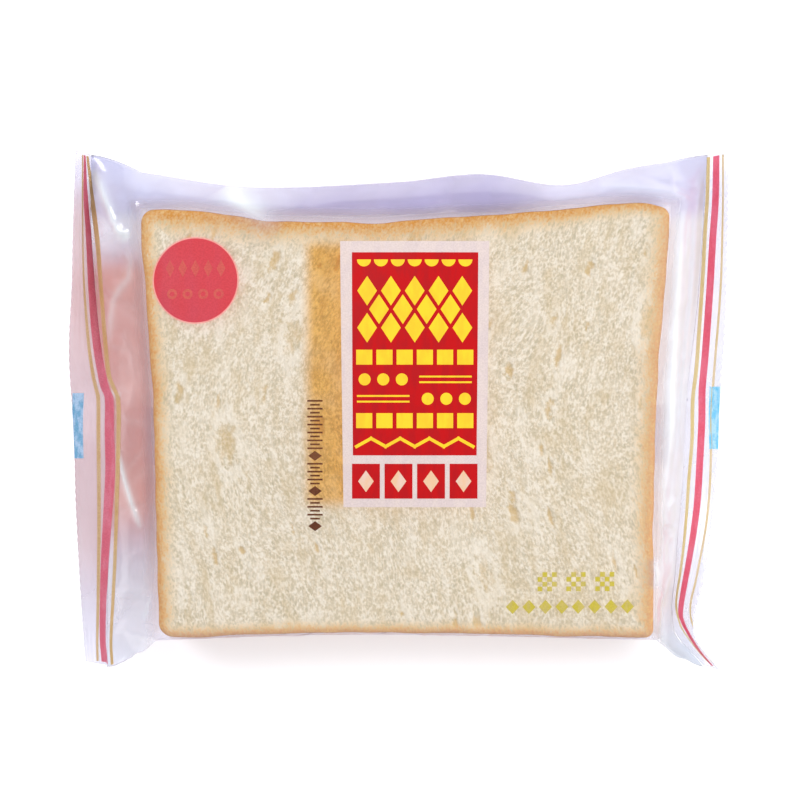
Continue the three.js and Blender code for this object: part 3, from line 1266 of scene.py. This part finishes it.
    def _crust_share(self, flat: Array, border: list[int]) -> tuple[Array, Array, Array, Array]:
        """Measure the crust.

        Args:
            flat: the face's vertices, in the plane.
            border: the ones on its rim.

        Returns:
            For each vertex its distance from the rim, the same as a share of the crust's depth there, and how
            golden the nearest crust is; and how golden it is along the rim.
        """
        ring = flat[border]
        along = np.roll(ring, -3, 0) - np.roll(ring, 3, 0)
        along /= np.linalg.norm(along, axis=1)[:, None]
        out_x, out_y = along[:, 1], -along[:, 0]
        weights = np.maximum([-out_y, out_x, out_y, -out_x], 0)
        low, right, left = self.crust_depths
        sides = np.array(np.broadcast_arrays(low, right, traced(self.crust_top, ring[:, 0]), left))
        depths = self._smooth((sides * weights).sum(0) / weights.sum(0))
        bakes = self._smooth(np.array(self.bakes) @ weights / weights.sum(0))
        tree = KDTree(len(border))
        for number, point in enumerate(ring):
            tree.insert((*point, 0.0), number)
        tree.balance()
        found = [tree.find((*p, 0.0)) for p in flat]
        edge = np.array([f[2] for f in found])
        nearest = [f[1] for f in found]
        return edge, edge / depths[nearest], bakes[nearest], bakes

    @staticmethod
    def _smooth(values: Array) -> Array:
        """Even out numbers that go round the rim."""
        return np.convolve(np.concatenate([values[-10:], values, values[:10]]), np.ones(21) / 21, "valid")

    def _solid(self, face: Array, rows: int, columns: int) -> tuple[Array, list[tuple[int, ...]]]:
        """Close the face's grid into a solid with walls and a plain far side."""
        border = self._border(rows, columns)
        ring = face[border]
        along = np.roll(ring, -2, 0) - np.roll(ring, 2, 0)
        out = np.column_stack([along[:, 1], -along[:, 0], np.zeros(len(ring))])
        out /= np.linalg.norm(out, axis=1)[:, None]
        count = len(ring)
        parts, faces = [face], turned(grid_faces(rows, columns))
        previous, start = border, len(face)
        for step in range(1, self.wall_steps + 1):
            share = step / self.wall_steps
            bulge = self.wall_bulge * math.sin(math.pi * share) ** 0.6 - self.groove * share ** 8
            level = ring + out * bulge
            level[:, 2] = mix(ring[:, 2], -self.facing.value * self.thickness / 2, share)
            current = list(range(start, start + count))
            parts.append(level)
            for i in range(count):
                j = (i + 1) % count
                faces.append((previous[j], previous[i], current[i], current[j]))
            previous, start = current, start + count
        faces.append(tuple(previous[::-1]))
        return np.concatenate(parts), faces

    def build(self) -> bpy.types.Object:
        """Make the slice's mesh.

        Returns:
            The object.
        """
        x, y = self._plan()
        flat = np.column_stack([x.ravel(), y.ravel()])
        edge, share, bake, rim_bake = self._crust_share(flat, self._border(*x.shape))
        flow = self._flow(flat[:, 0], flat[:, 1])
        depth, pore = self._relief(flow)
        soft = smoothstep(0.3, 1.0, share)
        rounding = self.rim * (1 - np.sqrt(1 - (1 - np.minimum(edge / self.rim_width, 1)) ** 2))
        face_z = self.facing.value * (self.thickness / 2 - depth * soft - rounding)
        points, faces = self._solid(np.column_stack([flat, face_z]), *x.shape)
        points[:, 2] += self.low + self.thickness / 2
        if self.facing is Facing.DOWN:
            faces = turned(faces)
        made = make_object(self.name, points, faces, self.finish)
        walls = len(points) - len(flat)
        wall_flow = self._flow(points[-walls:, 0], points[-walls:, 1] + points[-walls:, 2])
        store(made.data, crust=np.concatenate([1 - np.clip(share, 0, 2), np.full(walls, self.wall_crust)]),
              bake=np.concatenate([bake, np.tile(rim_bake, self.wall_steps)]),
              pore=np.concatenate([pore * soft, np.zeros(walls)]),
              **dict(zip(FLOW, np.concatenate([flow, wall_flow]).T)))
        return made


class Patches:
    """Flat shapes in the plane of the print, gathered for one colour of ink."""

    def __init__(self, step: float = 1.0 * MM) -> None:
        """Start with no shape.

        Args:
            step: about how far apart the vertices are.
        """
        self.step = step
        self.points: list[Pair] = []
        self.faces: list[tuple[int, ...]] = []

    def _grid(self, points: Array) -> "Patches":
        """Add a grid of points, by row and column."""
        rows, columns = points.shape[:2]
        self.faces += grid_faces(rows, columns, len(self.points))
        self.points += [tuple(p) for p in points.reshape(-1, 2)]
        return self

    def quad(self, corners: Sequence[Sequence[float]]) -> "Patches":
        """Add a four-sided field.

        Args:
            corners: its corners, turning to the left from the lower left.

        Returns:
            These patches.
        """
        a, b, c, d = (np.asarray(p, float) for p in corners)
        across = max(1, round(max(np.linalg.norm(b - a), np.linalg.norm(c - d)) / self.step))
        up = max(1, round(max(np.linalg.norm(d - a), np.linalg.norm(c - b)) / self.step))
        s = np.linspace(0, 1, across + 1)[:, None, None]
        t = np.linspace(0, 1, up + 1)[None, :, None]
        return self._grid(mix(mix(a, b, s), mix(d, c, s), t))

    def box(self, x: float, y: float, width: float, height: float) -> "Patches":
        """Add an upright field round a middle point."""
        w, h = width / 2, height / 2
        return self.quad(((x - w, y - h), (x + w, y - h), (x + w, y + h), (x - w, y + h)))

    def diamond(self, x: float, y: float, width: float, height: float) -> "Patches":
        """Add a diamond round a middle point."""
        w, h = width / 2, height / 2
        return self.quad(((x, y - h), (x + w, y), (x, y + h), (x - w, y)))

    def band(self, x: float, y: float, inner: float, outer: float, start: float = 0.0,
             end: float = 360.0) -> "Patches":
        """Add a band round a middle point, or a disc where inner is 0.

        Args:
            x, y: the middle.
            inner, outer: its radii.
            start, end: where it begins and ends, in degrees.

        Returns:
            These patches.
        """
        turns = max(10, round(math.radians(end - start) * outer / self.step * 2))
        rings = max(1, round((outer - inner) / self.step))
        angle = np.radians(np.linspace(start, end, turns + 1))[None, :]
        radius = np.linspace(max(inner, 0.02 * MM), outer, rings + 1)[:, None]
        return self._grid(np.stack([x + radius * np.cos(angle), y + radius * np.sin(angle)], -1))

    def stroke(self, start: Sequence[float], end: Sequence[float], width: float) -> "Patches":
        """Add a straight stroke between two points."""
        a, b = np.asarray(start, float), np.asarray(end, float)
        along = (b - a) / max(np.linalg.norm(b - a), 1e-9)
        side = np.array([-along[1], along[0]]) * width / 2
        a, b = a - along * width / 2, b + along * width / 2
        return self.quad((a - side, b - side, b + side, a + side))


@dataclass
class FrontPrint:
    """What is printed on the front of the film: each ink is laid on the film's own surface."""

    kit: Kit
    tree: BVHTree
    label_middle: Pair = (3.9 * MM, 9.0 * MM)
    label_size: Pair = (37.1 * MM, 66.1 * MM)
    label_taper: float = 0.9 * MM
    panel_low: float = -20.2 * MM
    panel_high: float = 30.2 * MM
    panel_half: float = 15.6 * MM
    disc_middle: Pair = (-50.7 * MM, 32.3 * MM)
    disc_radius: float = 10.5 * MM
    code_top: Pair = (-20.8 * MM, 2.3 * MM)
    gold_middle: Pair = (42.6 * MM, -45.6 * MM)
    square: float = 6.9 * MM
    square_gap: float = 1.15 * MM
    square_row: float = -26.6 * MM
    tick_pitch: float = 0.98 * MM
    chequer: float = 1.2 * MM
    ink_lift: float = 0.05 * MM
    above: float = 0.1

    def lay(self, name: str, patches: Patches, finish: InkFinish, layer: int) -> None:
        """Lay patches of one ink on the film.

        Args:
            name: the piece's name.
            patches: its shapes, in the plane.
            finish: its ink.
            layer: how many inks lie under it, from 0.
        """
        points = []
        for x, y in patches.points:
            spot, normal, _, _ = self.tree.ray_cast(Vector((x, y, self.above)), Vector((0, 0, -1)))
            points.append(spot + normal * self.ink_lift * (1 + layer))
        piece = make_object(name, np.array(points), patches.faces, finish.make())
        # The print casts no shadow; the label's shadow on the crumb is painted into the bread's colour instead.
        self.kit.add(piece, "print").visible_shadow = False

    def label(self) -> None:
        """Print the label: a white ground, a red panel with yellow motifs, and squares with diamonds."""
        x, y = self.label_middle
        w, h, taper = self.label_size[0] / 2, self.label_size[1] / 2, self.label_taper
        ground = Patches().quad(
            ((x - w + taper, y - h), (x + w - taper, y - h), (x + w, y + h), (x - w, y + h)))
        self.lay("label_ground", ground, InkFinish(
            "label_white", linear(224, 208, 202), linear(214, 198, 198), cover=0.96), 0)
        low, high, half = y + self.panel_low, y + self.panel_high, self.panel_half
        red = Patches().quad((
            (x - half + 0.3 * MM, low), (x + half - 0.3 * MM, low),
            (x + half + 0.2 * MM, high), (x - half, high)))
        gems = Patches(0.8 * MM)
        side, row = self.square, y + self.square_row
        for i in range(4):
            middle = x + (i - 1.5) * (side + self.square_gap)
            red.box(middle, row, side, side * 1.25)
            gems.diamond(middle, row, side * 0.56, side * 0.78)
        self.lay("label_red", red, InkFinish("label_red", linear(194, 4, 10), linear(170, 4, 16)), 1)
        self.lay("label_yellow", self._motifs(x, y), InkFinish(
            "label_yellow", linear(250, 211, 44), linear(240, 190, 40)), 2)
        self.lay("label_gems", gems, InkFinish(
            "label_pale", linear(232, 190, 150), linear(228, 204, 196)), 2)

    @staticmethod
    def _motifs(x: float, y: float) -> Patches:
        """Draw the panel's yellow motifs, round the label's middle."""
        yellow = Patches(0.9 * MM)
        # Bunting
        for i in range(7):
            yellow.band(x + (i - 3) * 4.2 * MM, y + 28.4 * MM, 0.0, 1.75 * MM, 180, 360)
        # Lattice of diamonds
        for row in range(3):
            count = 5 if row % 2 == 0 else 4
            for i in range(count):
                middle = x + (i - (count - 1) / 2) * 5.9 * MM
                yellow.diamond(middle, y + (20.6 - 4.6 * row) * MM, 4.9 * MM, 7.4 * MM)
        # Two rows of blocks
        for level in (4.1, -11.6):
            for i in range(6):
                yellow.box(x + (i - 2.5) * 5.0 * MM, y + level * MM, 4.0 * MM, 3.7 * MM)
        # Discs beside pairs of bars
        for i in range(3):
            yellow.band(x + (i * 4.6 - 12.4) * MM, y - 1.4 * MM, 0.0, 1.5 * MM)
            yellow.band(x + (i * 4.6 + 3.2) * MM, y - 6.2 * MM, 0.0, 1.5 * MM)
        for level in (-0.7, -2.1):
            yellow.box(x + 7.6 * MM, y + level * MM, 13.0 * MM, 0.45 * MM)
            yellow.box(x - 7.8 * MM, y + (level - 4.8) * MM, 13.0 * MM, 0.45 * MM)
        # Zigzag
        row = y - 17.0 * MM
        for i in range(8):
            rise = 1.0 * MM if i % 2 == 0 else -1.0 * MM
            left, right = x + (i - 4) * 3.6 * MM, x + (i - 3) * 3.6 * MM
            yellow.stroke((left, row - rise), (right, row + rise), 0.8 * MM)
        return yellow

    def disc(self) -> None:
        """Print the red disc, its pale rim and the faint marks on it."""
        x, y = self.disc_middle
        r = self.disc_radius
        self.lay("disc_red", Patches().band(x, y, 0.0, r), InkFinish(
            "disc_red", linear(208, 62, 70), linear(200, 68, 84), cover=0.95, mottle=90.0, contrast=0.8), 0)
        self.lay("disc_rim", Patches(0.6 * MM).band(x, y, r, r + 0.35 * MM), InkFinish(
            "disc_rim", linear(246, 178, 170), linear(240, 160, 150), cover=0.7), 0)
        gold = Patches(0.8 * MM)
        for i in range(5):
            gold.diamond(x + (i - 2) * 3.2 * MM, y + 3.0 * MM, 2.2 * MM, 4.4 * MM)
        for i in range(4):
            gold.band(x + (i - 1.5) * 3.9 * MM, y - 3.4 * MM, 0.6 * MM, 1.3 * MM)
        self.lay("disc_marks", gold, InkFinish(
            "disc_gold", linear(214, 100, 88), linear(208, 82, 84), cover=0.8), 1)

    def code(self) -> None:
        """Print the narrow brown column beside the label: rows of ticks, with a diamond after each row."""
        brown = Patches(0.8 * MM)
        x, top = self.code_top
        pitch = self.tick_pitch
        for ticks in (13, 6, 6):
            for i in range(ticks):
                brown.box(x, top - i * pitch, (3.8 if i % 2 == 0 else 2.4) * MM, 0.44 * MM)
            top -= (ticks + 0.9) * pitch
            brown.diamond(x, top, 3.4 * MM, 2.5 * MM)
            top -= 2.0 * pitch
        self.lay("code", brown, InkFinish(
            "code_brown", linear(96, 52, 32), linear(132, 84, 54), cover=0.85), 0)

    def gold(self) -> None:
        """Print the pale gold chequers in the lower right corner, and the row of diamonds below them."""
        x, y = self.gold_middle
        gold = Patches(0.8 * MM)
        square = self.chequer
        for block, row, column in np.ndindex(3, 4, 4):
            if (row + column) % 2 == 0:
                gold.box(x + (block - 0.8) * 7.2 * MM + (column - 1.5) * square,
                         y + 2.9 * MM + (row - 1.5) * square, square, square)
        for i in range(8):
            gold.diamond(x + (i - 3.5) * 4.1 * MM, y - 3.4 * MM, 3.3 * MM, 3.6 * MM)
        self.lay("gold_blocks", gold, InkFinish(
            "gold", linear(206, 192, 70), linear(206, 190, 120), cover=0.72, mottle=700.0, contrast=0.8), 0)


@dataclass(frozen=True)
class Stripe:
    """A printed stripe along a weld: how it runs as seen from the camera, in millimetres."""

    name: str
    path: Rows
    width: Rows
    colour: Colour
    streak: Colour
    cover: float = 0.85
    mottle: float = 420.0
    contrast: float = 0.5
    steps: int = 4
    fade: Rows = ((-65, 0.8), (-45, 0.95), (-20, 1.0), (25, 1.0), (38, 0.85), (48, 0.6), (54, 0.4), (65, 0.2))


@dataclass
class EndPrint:
    """The stripes and the blue patch printed along one end of the film."""

    kit: Kit
    weld: Weld
    sheet: FilmSheet
    eye: Colour
    lift: float = 0.06 * MM
    reach: float = 7.0 * MM
    step: float = 0.25 * MM
    samples: int = 320
    v: Array = field(init=False)
    distances: Array = field(init=False)
    seen: Array = field(init=False)
    panel: Array = field(init=False)

    def __post_init__(self) -> None:
        """Measure how far along the picture each distance from the weld's inner line is seen."""
        self.v = np.linspace(-0.996, 0.996, self.samples)
        inwards = np.arange(round(self.reach / self.step), -1, -1) * self.step
        at = np.interp(self.v, self.sheet.v, np.arange(self.sheet.places))
        k = np.minimum(at.astype(int), self.sheet.places - 2)
        share = (at - k)[:, None]
        lines = [self.sheet.inward(self.weld.end, d) for d in inwards]
        self.panel = np.array([mix(line[k], line[k + 1], share) for line in lines])
        outwards = np.arange(1, round(self.weld.width / self.step) + 1) * self.step
        welded = np.array([self.weld.form.weld(self.weld.end, self.v, d) for d in outwards])
        self.distances = np.concatenate([-inwards, outwards])
        points = np.concatenate([self.panel, welded])
        eye, level = self.eye, self.weld.form.half
        near = (eye[2] - level) / (eye[2] - points[:, :, 2])
        self.seen = self.weld.end.value * (eye[0] + (points[:, :, 0] - eye[0]) * near)

    def _points(self, place: Array, v: Array) -> Array:
        """Find the points of the film that are seen at a place along the picture.

        Args:
            place: the place for each sample across.
            v: the samples, as numbers of self.v.

        Returns:
            The points.
        """
        found = np.empty((len(v), 3))
        for row, k in enumerate(v):
            ahead = np.maximum.accumulate(self.seen[:, k] + np.arange(len(self.distances)) * 1e-9)
            d = float(np.interp(self.weld.end.value * place[row], ahead, self.distances))
            if d > 0:
                across = self.v[k:k + 1]
                found[row] = self.weld.point(across, d, self.weld.form.weld_thickness / 2)[0]
            else:
                back = self.distances[:len(self.panel)]
                found[row] = [np.interp(d, back, self.panel[:, k, axis]) for axis in range(3)]
        return found

    def strip(self, stripe: Stripe) -> None:
        """Print a stripe.

        Args:
            stripe: how it runs.
        """
        y = self.v * self.weld.form.flat_width / 2 / MM
        shown = np.nonzero((y >= stripe.path[0][0]) & (y <= stripe.path[-1][0]))[0]
        middle = through(stripe.path, 1, y[shown]) * MM
        width = through(stripe.width, 1, y[shown]) * MM
        shares = np.linspace(-0.5, 0.5, stripe.steps + 1)
        points = np.array([self._points(middle + width * share, shown) for share in shares])
        normal = np.cross(np.gradient(points, axis=0), np.gradient(points, axis=1))
        normal /= np.maximum(np.linalg.norm(normal, axis=2, keepdims=True), 1e-12)
        points = points + normal * self.lift
        name = f"{stripe.name}_{self.weld.end.side}"
        ink = InkFinish(name, stripe.colour, stripe.streak, stripe.cover,
                        mottle=stripe.mottle, contrast=stripe.contrast, fading=True)
        piece = make_object(name, points, grid_faces(*points.shape[:2]), ink.make())
        store(piece.data, fade=np.tile(through(stripe.fade, 1, y[shown]), len(shares)))
        self.kit.add(piece, "print").visible_shadow = False


LEFT_STRIPES = (
    Stripe("stripe_red", (
        (-64.7, -74.9), (-58.6, -75.4), (-48.4, -75.3), (-38.2, -74.9), (-28, -74.3), (-15.3, -73.6),
        (-5.1, -73.8), (3.1, -73.9), (5.6, -74.9), (8.7, -75.7), (16.6, -77.1), (28, -78.2), (43.3, -79.2),
        (53.5, -80), (64.4, -80.3)),
        ((-64, 1.5), (-48, 1.7), (-28, 2.2), (-15, 2.5), (3, 2.3), (15, 2.1), (28, 1.9), (43, 1.5), (54, 1.1),
         (64, 0.5)),
        linear(214, 104, 124), linear(224, 140, 158)),
    Stripe("stripe_gold_inner", (
        (-64.7, -73.1), (-58.6, -73.4), (-48.4, -72.9), (-38.2, -72.4), (-22.9, -71.9), (-7.6, -71.5),
        (3.1, -71.6), (5.6, -72.6), (8.9, -73.9), (19.1, -75), (30.6, -75.9), (43.3, -76.9), (56.1, -78.5),
        (64.4, -79.6)),
        ((-64, 0.7), (-30, 0.9), (3, 1.1), (30, 1.0), (50, 1.2), (64, 0.6)),
        linear(212, 178, 124), linear(220, 196, 156), 0.7, steps=2),
    Stripe("stripe_gold_outer", (
        (-64.7, -76.7), (-58.6, -76.8), (-48.4, -76.6), (-28, -76.4), (-5.1, -76.6), (3.1, -76.7),
        (5.6, -77.3), (8.7, -78), (16.6, -79.2), (33.1, -80.5), (48.4, -80.8), (64.4, -80.8)),
        ((-64, 0.6), (-30, 0.9), (3, 1.0), (20, 0.7), (40, 0.4), (64, 0.3)),
        linear(214, 184, 136), linear(222, 200, 164), 0.65, steps=2),
    Stripe("patch_blue", ((-12.7, -81.6), (-4, -81.9), (4.4, -81.8)), ((-12.7, 2.5), (4.4, 2.9)),
           linear(112, 168, 204), linear(176, 204, 232), 0.9, 900.0, 1.0),
)
RIGHT_STRIPES = (
    Stripe("stripe_red", (
        (-64.5, 80.2), (-62.2, 78), (-59.4, 75.9), (-56.6, 74.1), (-54, 72.6), (-51.5, 71.9), (-45.9, 72.6),
        (-38.2, 74), (-30.6, 75.2), (-22.9, 76.1), (-12.7, 76.7), (-2.5, 77.2), (5.1, 77.3), (12.7, 78),
        (22.9, 78.8), (33.1, 79.5), (43.3, 80.1), (53.5, 80.8), (64.5, 81)),
        ((-64, 0.6), (-60, 0.8), (-54, 1.0), (-50, 1.3), (-38, 1.5), (-25, 1.7), (0, 1.8), (40, 1.8),
         (64, 1.6)),
        linear(226, 92, 116), linear(232, 128, 152),
        fade=((-65, 0.4), (-58, 0.7), (-48, 1.0), (40, 0.95), (65, 0.8))),
    Stripe("stripe_gold_inner", (
        (-63.7, 79), (-61.2, 76.7), (-57.6, 73.9), (-55, 72.1), (-51.5, 71), (-48.4, 70.8), (-42, 71.7),
        (-35.7, 72.5), (-26.8, 73.3), (-17.8, 73.9), (-7.6, 74.7), (2.5, 74.9), (10.2, 75.8), (20.4, 76.6),
        (33.1, 77.5), (45.9, 78.2), (53.5, 78.7), (64.5, 79)),
        ((-64, 0.3), (-50, 0.5), (-20, 0.8), (10, 1.0), (64, 0.9)),
        linear(224, 202, 142), linear(232, 216, 176), 0.75, steps=2),
    Stripe("stripe_gold_outer", (
        (-63.4, 80), (-60.6, 78.5), (-57.6, 76.7), (-54.5, 75.2), (-51.5, 74.4), (-48.4, 74.5), (-43.3, 75.7),
        (-38.2, 76.7), (-33.1, 77.7), (-28, 78.5), (-20.4, 79.2), (-11.5, 79.5), (-2.5, 79.6), (5.1, 80),
        (12.7, 80.6), (22.9, 81.5), (33.1, 82.2), (43.3, 82.5), (53.5, 82.7), (64.5, 82.7)),
        ((-64, 0.3), (-30, 0.6), (20, 0.6), (64, 0.4)),
        linear(222, 200, 150), linear(232, 216, 196), 0.7, steps=2),
    Stripe("patch_blue", ((-10.2, 80.4), (-2, 80.3), (6.1, 80.6)), ((-10.2, 2.6), (6.1, 2.8)),
           linear(118, 202, 240), linear(184, 226, 248), 0.9, 900.0, 1.0),
)


@dataclass(frozen=True)
class EndPlan:
    """How an end of the bag is finished."""

    end: End
    width: float
    tooth_height: float
    stripes: tuple[Stripe, ...]


END_PLANS = (
    EndPlan(End.LEFT, 9.0 * MM, 0.1 * MM, LEFT_STRIPES),
    EndPlan(End.RIGHT, 8.5 * MM, 0.32 * MM, RIGHT_STRIPES),
)


@dataclass
class FinSeam:
    """The flap along the middle of the underside, where the film is joined into a tube."""

    form: BagForm
    sheet: FilmSheet
    finish: bpy.types.Material
    low_v: float = -0.2
    high_v: float = 0.03
    columns: int = 12
    drop: float = 0.06 * MM

    def build(self) -> bpy.types.Object:
        """Make the flap's mesh.

        Returns:
            The object.
        """
        back = self.sheet.rings[:, self.sheet.places:][:, ::-1]
        v = self.sheet.v[1:-1]
        at = np.interp(np.linspace(self.low_v, self.high_v, self.columns), v, np.arange(len(v)))
        k = at.astype(int)
        points = mix(back[:, k], back[:, k + 1], (at - k)[None, :, None])
        points = points - np.array([0, 0, self.drop])
        made = make_object("fin_seam", points, turned(grid_faces(*points.shape[:2])), self.finish)
        # The flap's painted bluish reflection and sheen, as on the film.
        store(made.data, milk=0.12, blush=0.0, mist=0.6, white=0.3)
        return made


@dataclass(frozen=True)
class Lamp:
    """A soft rectangular light that looks at the object. Its power is in watts."""

    name: str
    place: Colour
    size: Pair
    power: float
    colour: Colour = (1.0, 1.0, 1.0)
    lights_surfaces: bool = True
    is_mirrored: bool = True

    def hang(self) -> None:
        """Hang the light in the scene."""
        lamp = bpy.data.lights.new(self.name, "AREA")
        lamp.shape, lamp.energy, lamp.color = "RECTANGLE", self.power, self.colour
        lamp.size, lamp.size_y = self.size
        held = bpy.data.objects.new(self.name, lamp)
        held.location = self.place
        held.rotation_euler = Vector(self.place).to_track_quat("Z", "Y").to_euler()
        held.visible_diffuse, held.visible_glossy = self.lights_surfaces, self.is_mirrored
        bpy.context.scene.collection.objects.link(held)


KEY_PLACE, KEY_SIZE, KEY_COLOUR = (0.8, 0.05, 0.42), (1.0, 0.5), (1.0, 0.98, 0.95)
LAMPS = (
    Lamp("key", KEY_PLACE, KEY_SIZE, 6.15, KEY_COLOUR, is_mirrored=False),
    Lamp("key_gloss", KEY_PLACE, KEY_SIZE, 2.0, KEY_COLOUR, lights_surfaces=False),
    Lamp("fill", (-0.6, 0.55, 0.9), (0.5, 0.5), 7.3, (0.98, 0.98, 1.0)),
    Lamp("spark", (-0.5, 0.25, 0.8), (0.2, 0.2), 0.4),
)


@dataclass
class Studio:
    """The pale floor, the soft lights and the camera above."""

    eye: tuple[float, float, float] = (0.25 * MM, 2.5 * MM, 491.3 * MM)
    lens: float = 85.0
    clip_start: float = 0.01
    floor_drop: float = 0.3 * MM
    floor_size: float = 6.0
    floor_tones: tuple[Colour, Colour] = (linear(250, 250, 250), linear(246, 246, 248))
    floor_roughness: float = 0.8
    floor_painted_label_shadow: float = 0.3
    world_colour: Colour = (0.93, 0.94, 1.0)
    world_strength: float = 0.55
    see_through_bounces: int = 32

    def build(self, shift: Vector) -> None:
        """Set the studio up.

        Args:
            shift: from the form's own frame to the object's.
        """
        scene = bpy.context.scene
        lens = bpy.data.cameras.new("camera")
        lens.lens, lens.clip_start = self.lens, self.clip_start
        camera = bpy.data.objects.new("camera", lens)
        camera.location = Vector(self.eye) + shift
        scene.collection.objects.link(camera)
        scene.camera = camera
        self._floor()
        world = bpy.data.worlds.new("studio")
        world.use_nodes = True
        sky = world.node_tree.nodes["Background"]
        sky.inputs["Color"].default_value = (*self.world_colour, 1.0)
        sky.inputs["Strength"].default_value = self.world_strength
        scene.world = world
        scene.view_settings.view_transform = "Standard"
        scene.cycles.transparent_max_bounces = self.see_through_bounces
        for lamp in LAMPS:
            lamp.hang()

    def _floor(self) -> None:
        """Lay the floor."""
        shader = Shader("floor")
        tone = shader.noise(shader.place(), 3.0, 2.0)
        surface = shader.node("ShaderNodeBsdfPrincipled", {}, {
            "Base Color": shader.mix(tone, *self.floor_tones), "Roughness": self.floor_roughness,
            "Emission Color": (1.0, 1.0, 1.0, 1.0), "Emission Strength": self.floor_painted_label_shadow})
        half = self.floor_size / 2
        corners = [(-half, -half), (half, -half), (half, half), (-half, half)]
        points = np.array([(x, y, -self.floor_drop) for x, y in corners])
        make_object("floor", points, [(0, 1, 2, 3)], shader.finish(surface), smooth=False)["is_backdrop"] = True


def main() -> None:
    """Build every piece, hang it on the body and set the studio up."""
    logging.basicConfig(level=logging.INFO, format="%(name)s: %(message)s")
    kit, form, studio = Kit(), BagForm(), Studio()
    clear = FilmFinish().make()
    sheet = FilmSheet(form, Haze(form), clear)
    film = kit.add(sheet.build(), "film")
    tree = BVHTree.FromPolygons(
        [tuple(v.co) for v in film.data.vertices], [tuple(p.vertices) for p in film.data.polygons])
    crimped = FilmFinish("weld_film", gloss_share=0.06, gloss_roughness=0.25).make()
    for plan in END_PLANS:
        weld = Weld(form, plan.end, crimped, plan.width, plan.tooth_height)
        kit.add(weld.build(), "film")
        printed = EndPrint(kit, weld, sheet, studio.eye)
        for stripe in plan.stripes:
            printed.strip(stripe)
    kit.add(FinSeam(form, sheet, clear).build(), "film")
    front = FrontPrint(kit, tree)
    front.label()
    front.disc()
    front.code()
    front.gold()
    bread = BreadFinish().make()
    thickness = (form.stack - 2 * form.gap) / 2
    upper = BreadSlice("slice_upper", form, Facing.UP, form.gap + thickness, thickness, bread)
    lower = BreadSlice("slice_lower", form, Facing.DOWN, form.gap, thickness, bread,
                       step=1.0 * MM, seed=8.0, inset=0.7 * MM)
    for piece in (upper, lower):
        kit.add(piece.build(), "crumb")
    low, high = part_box(NODE)
    shift = Vector(((low.x + high.x) / 2 - form.middle_x, (low.y + high.y) / 2, 0.0))
    kit.hang(shift)
    for piece, slot in kit.pieces:
        if slot != "print":
            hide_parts(NODE)
    studio.build(shift)
    low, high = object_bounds()
    log.info("%d pieces, shift %s mm", len(kit.pieces), tuple(round(s / MM, 2) for s in shift))


if __name__ == "__main__":
    main()
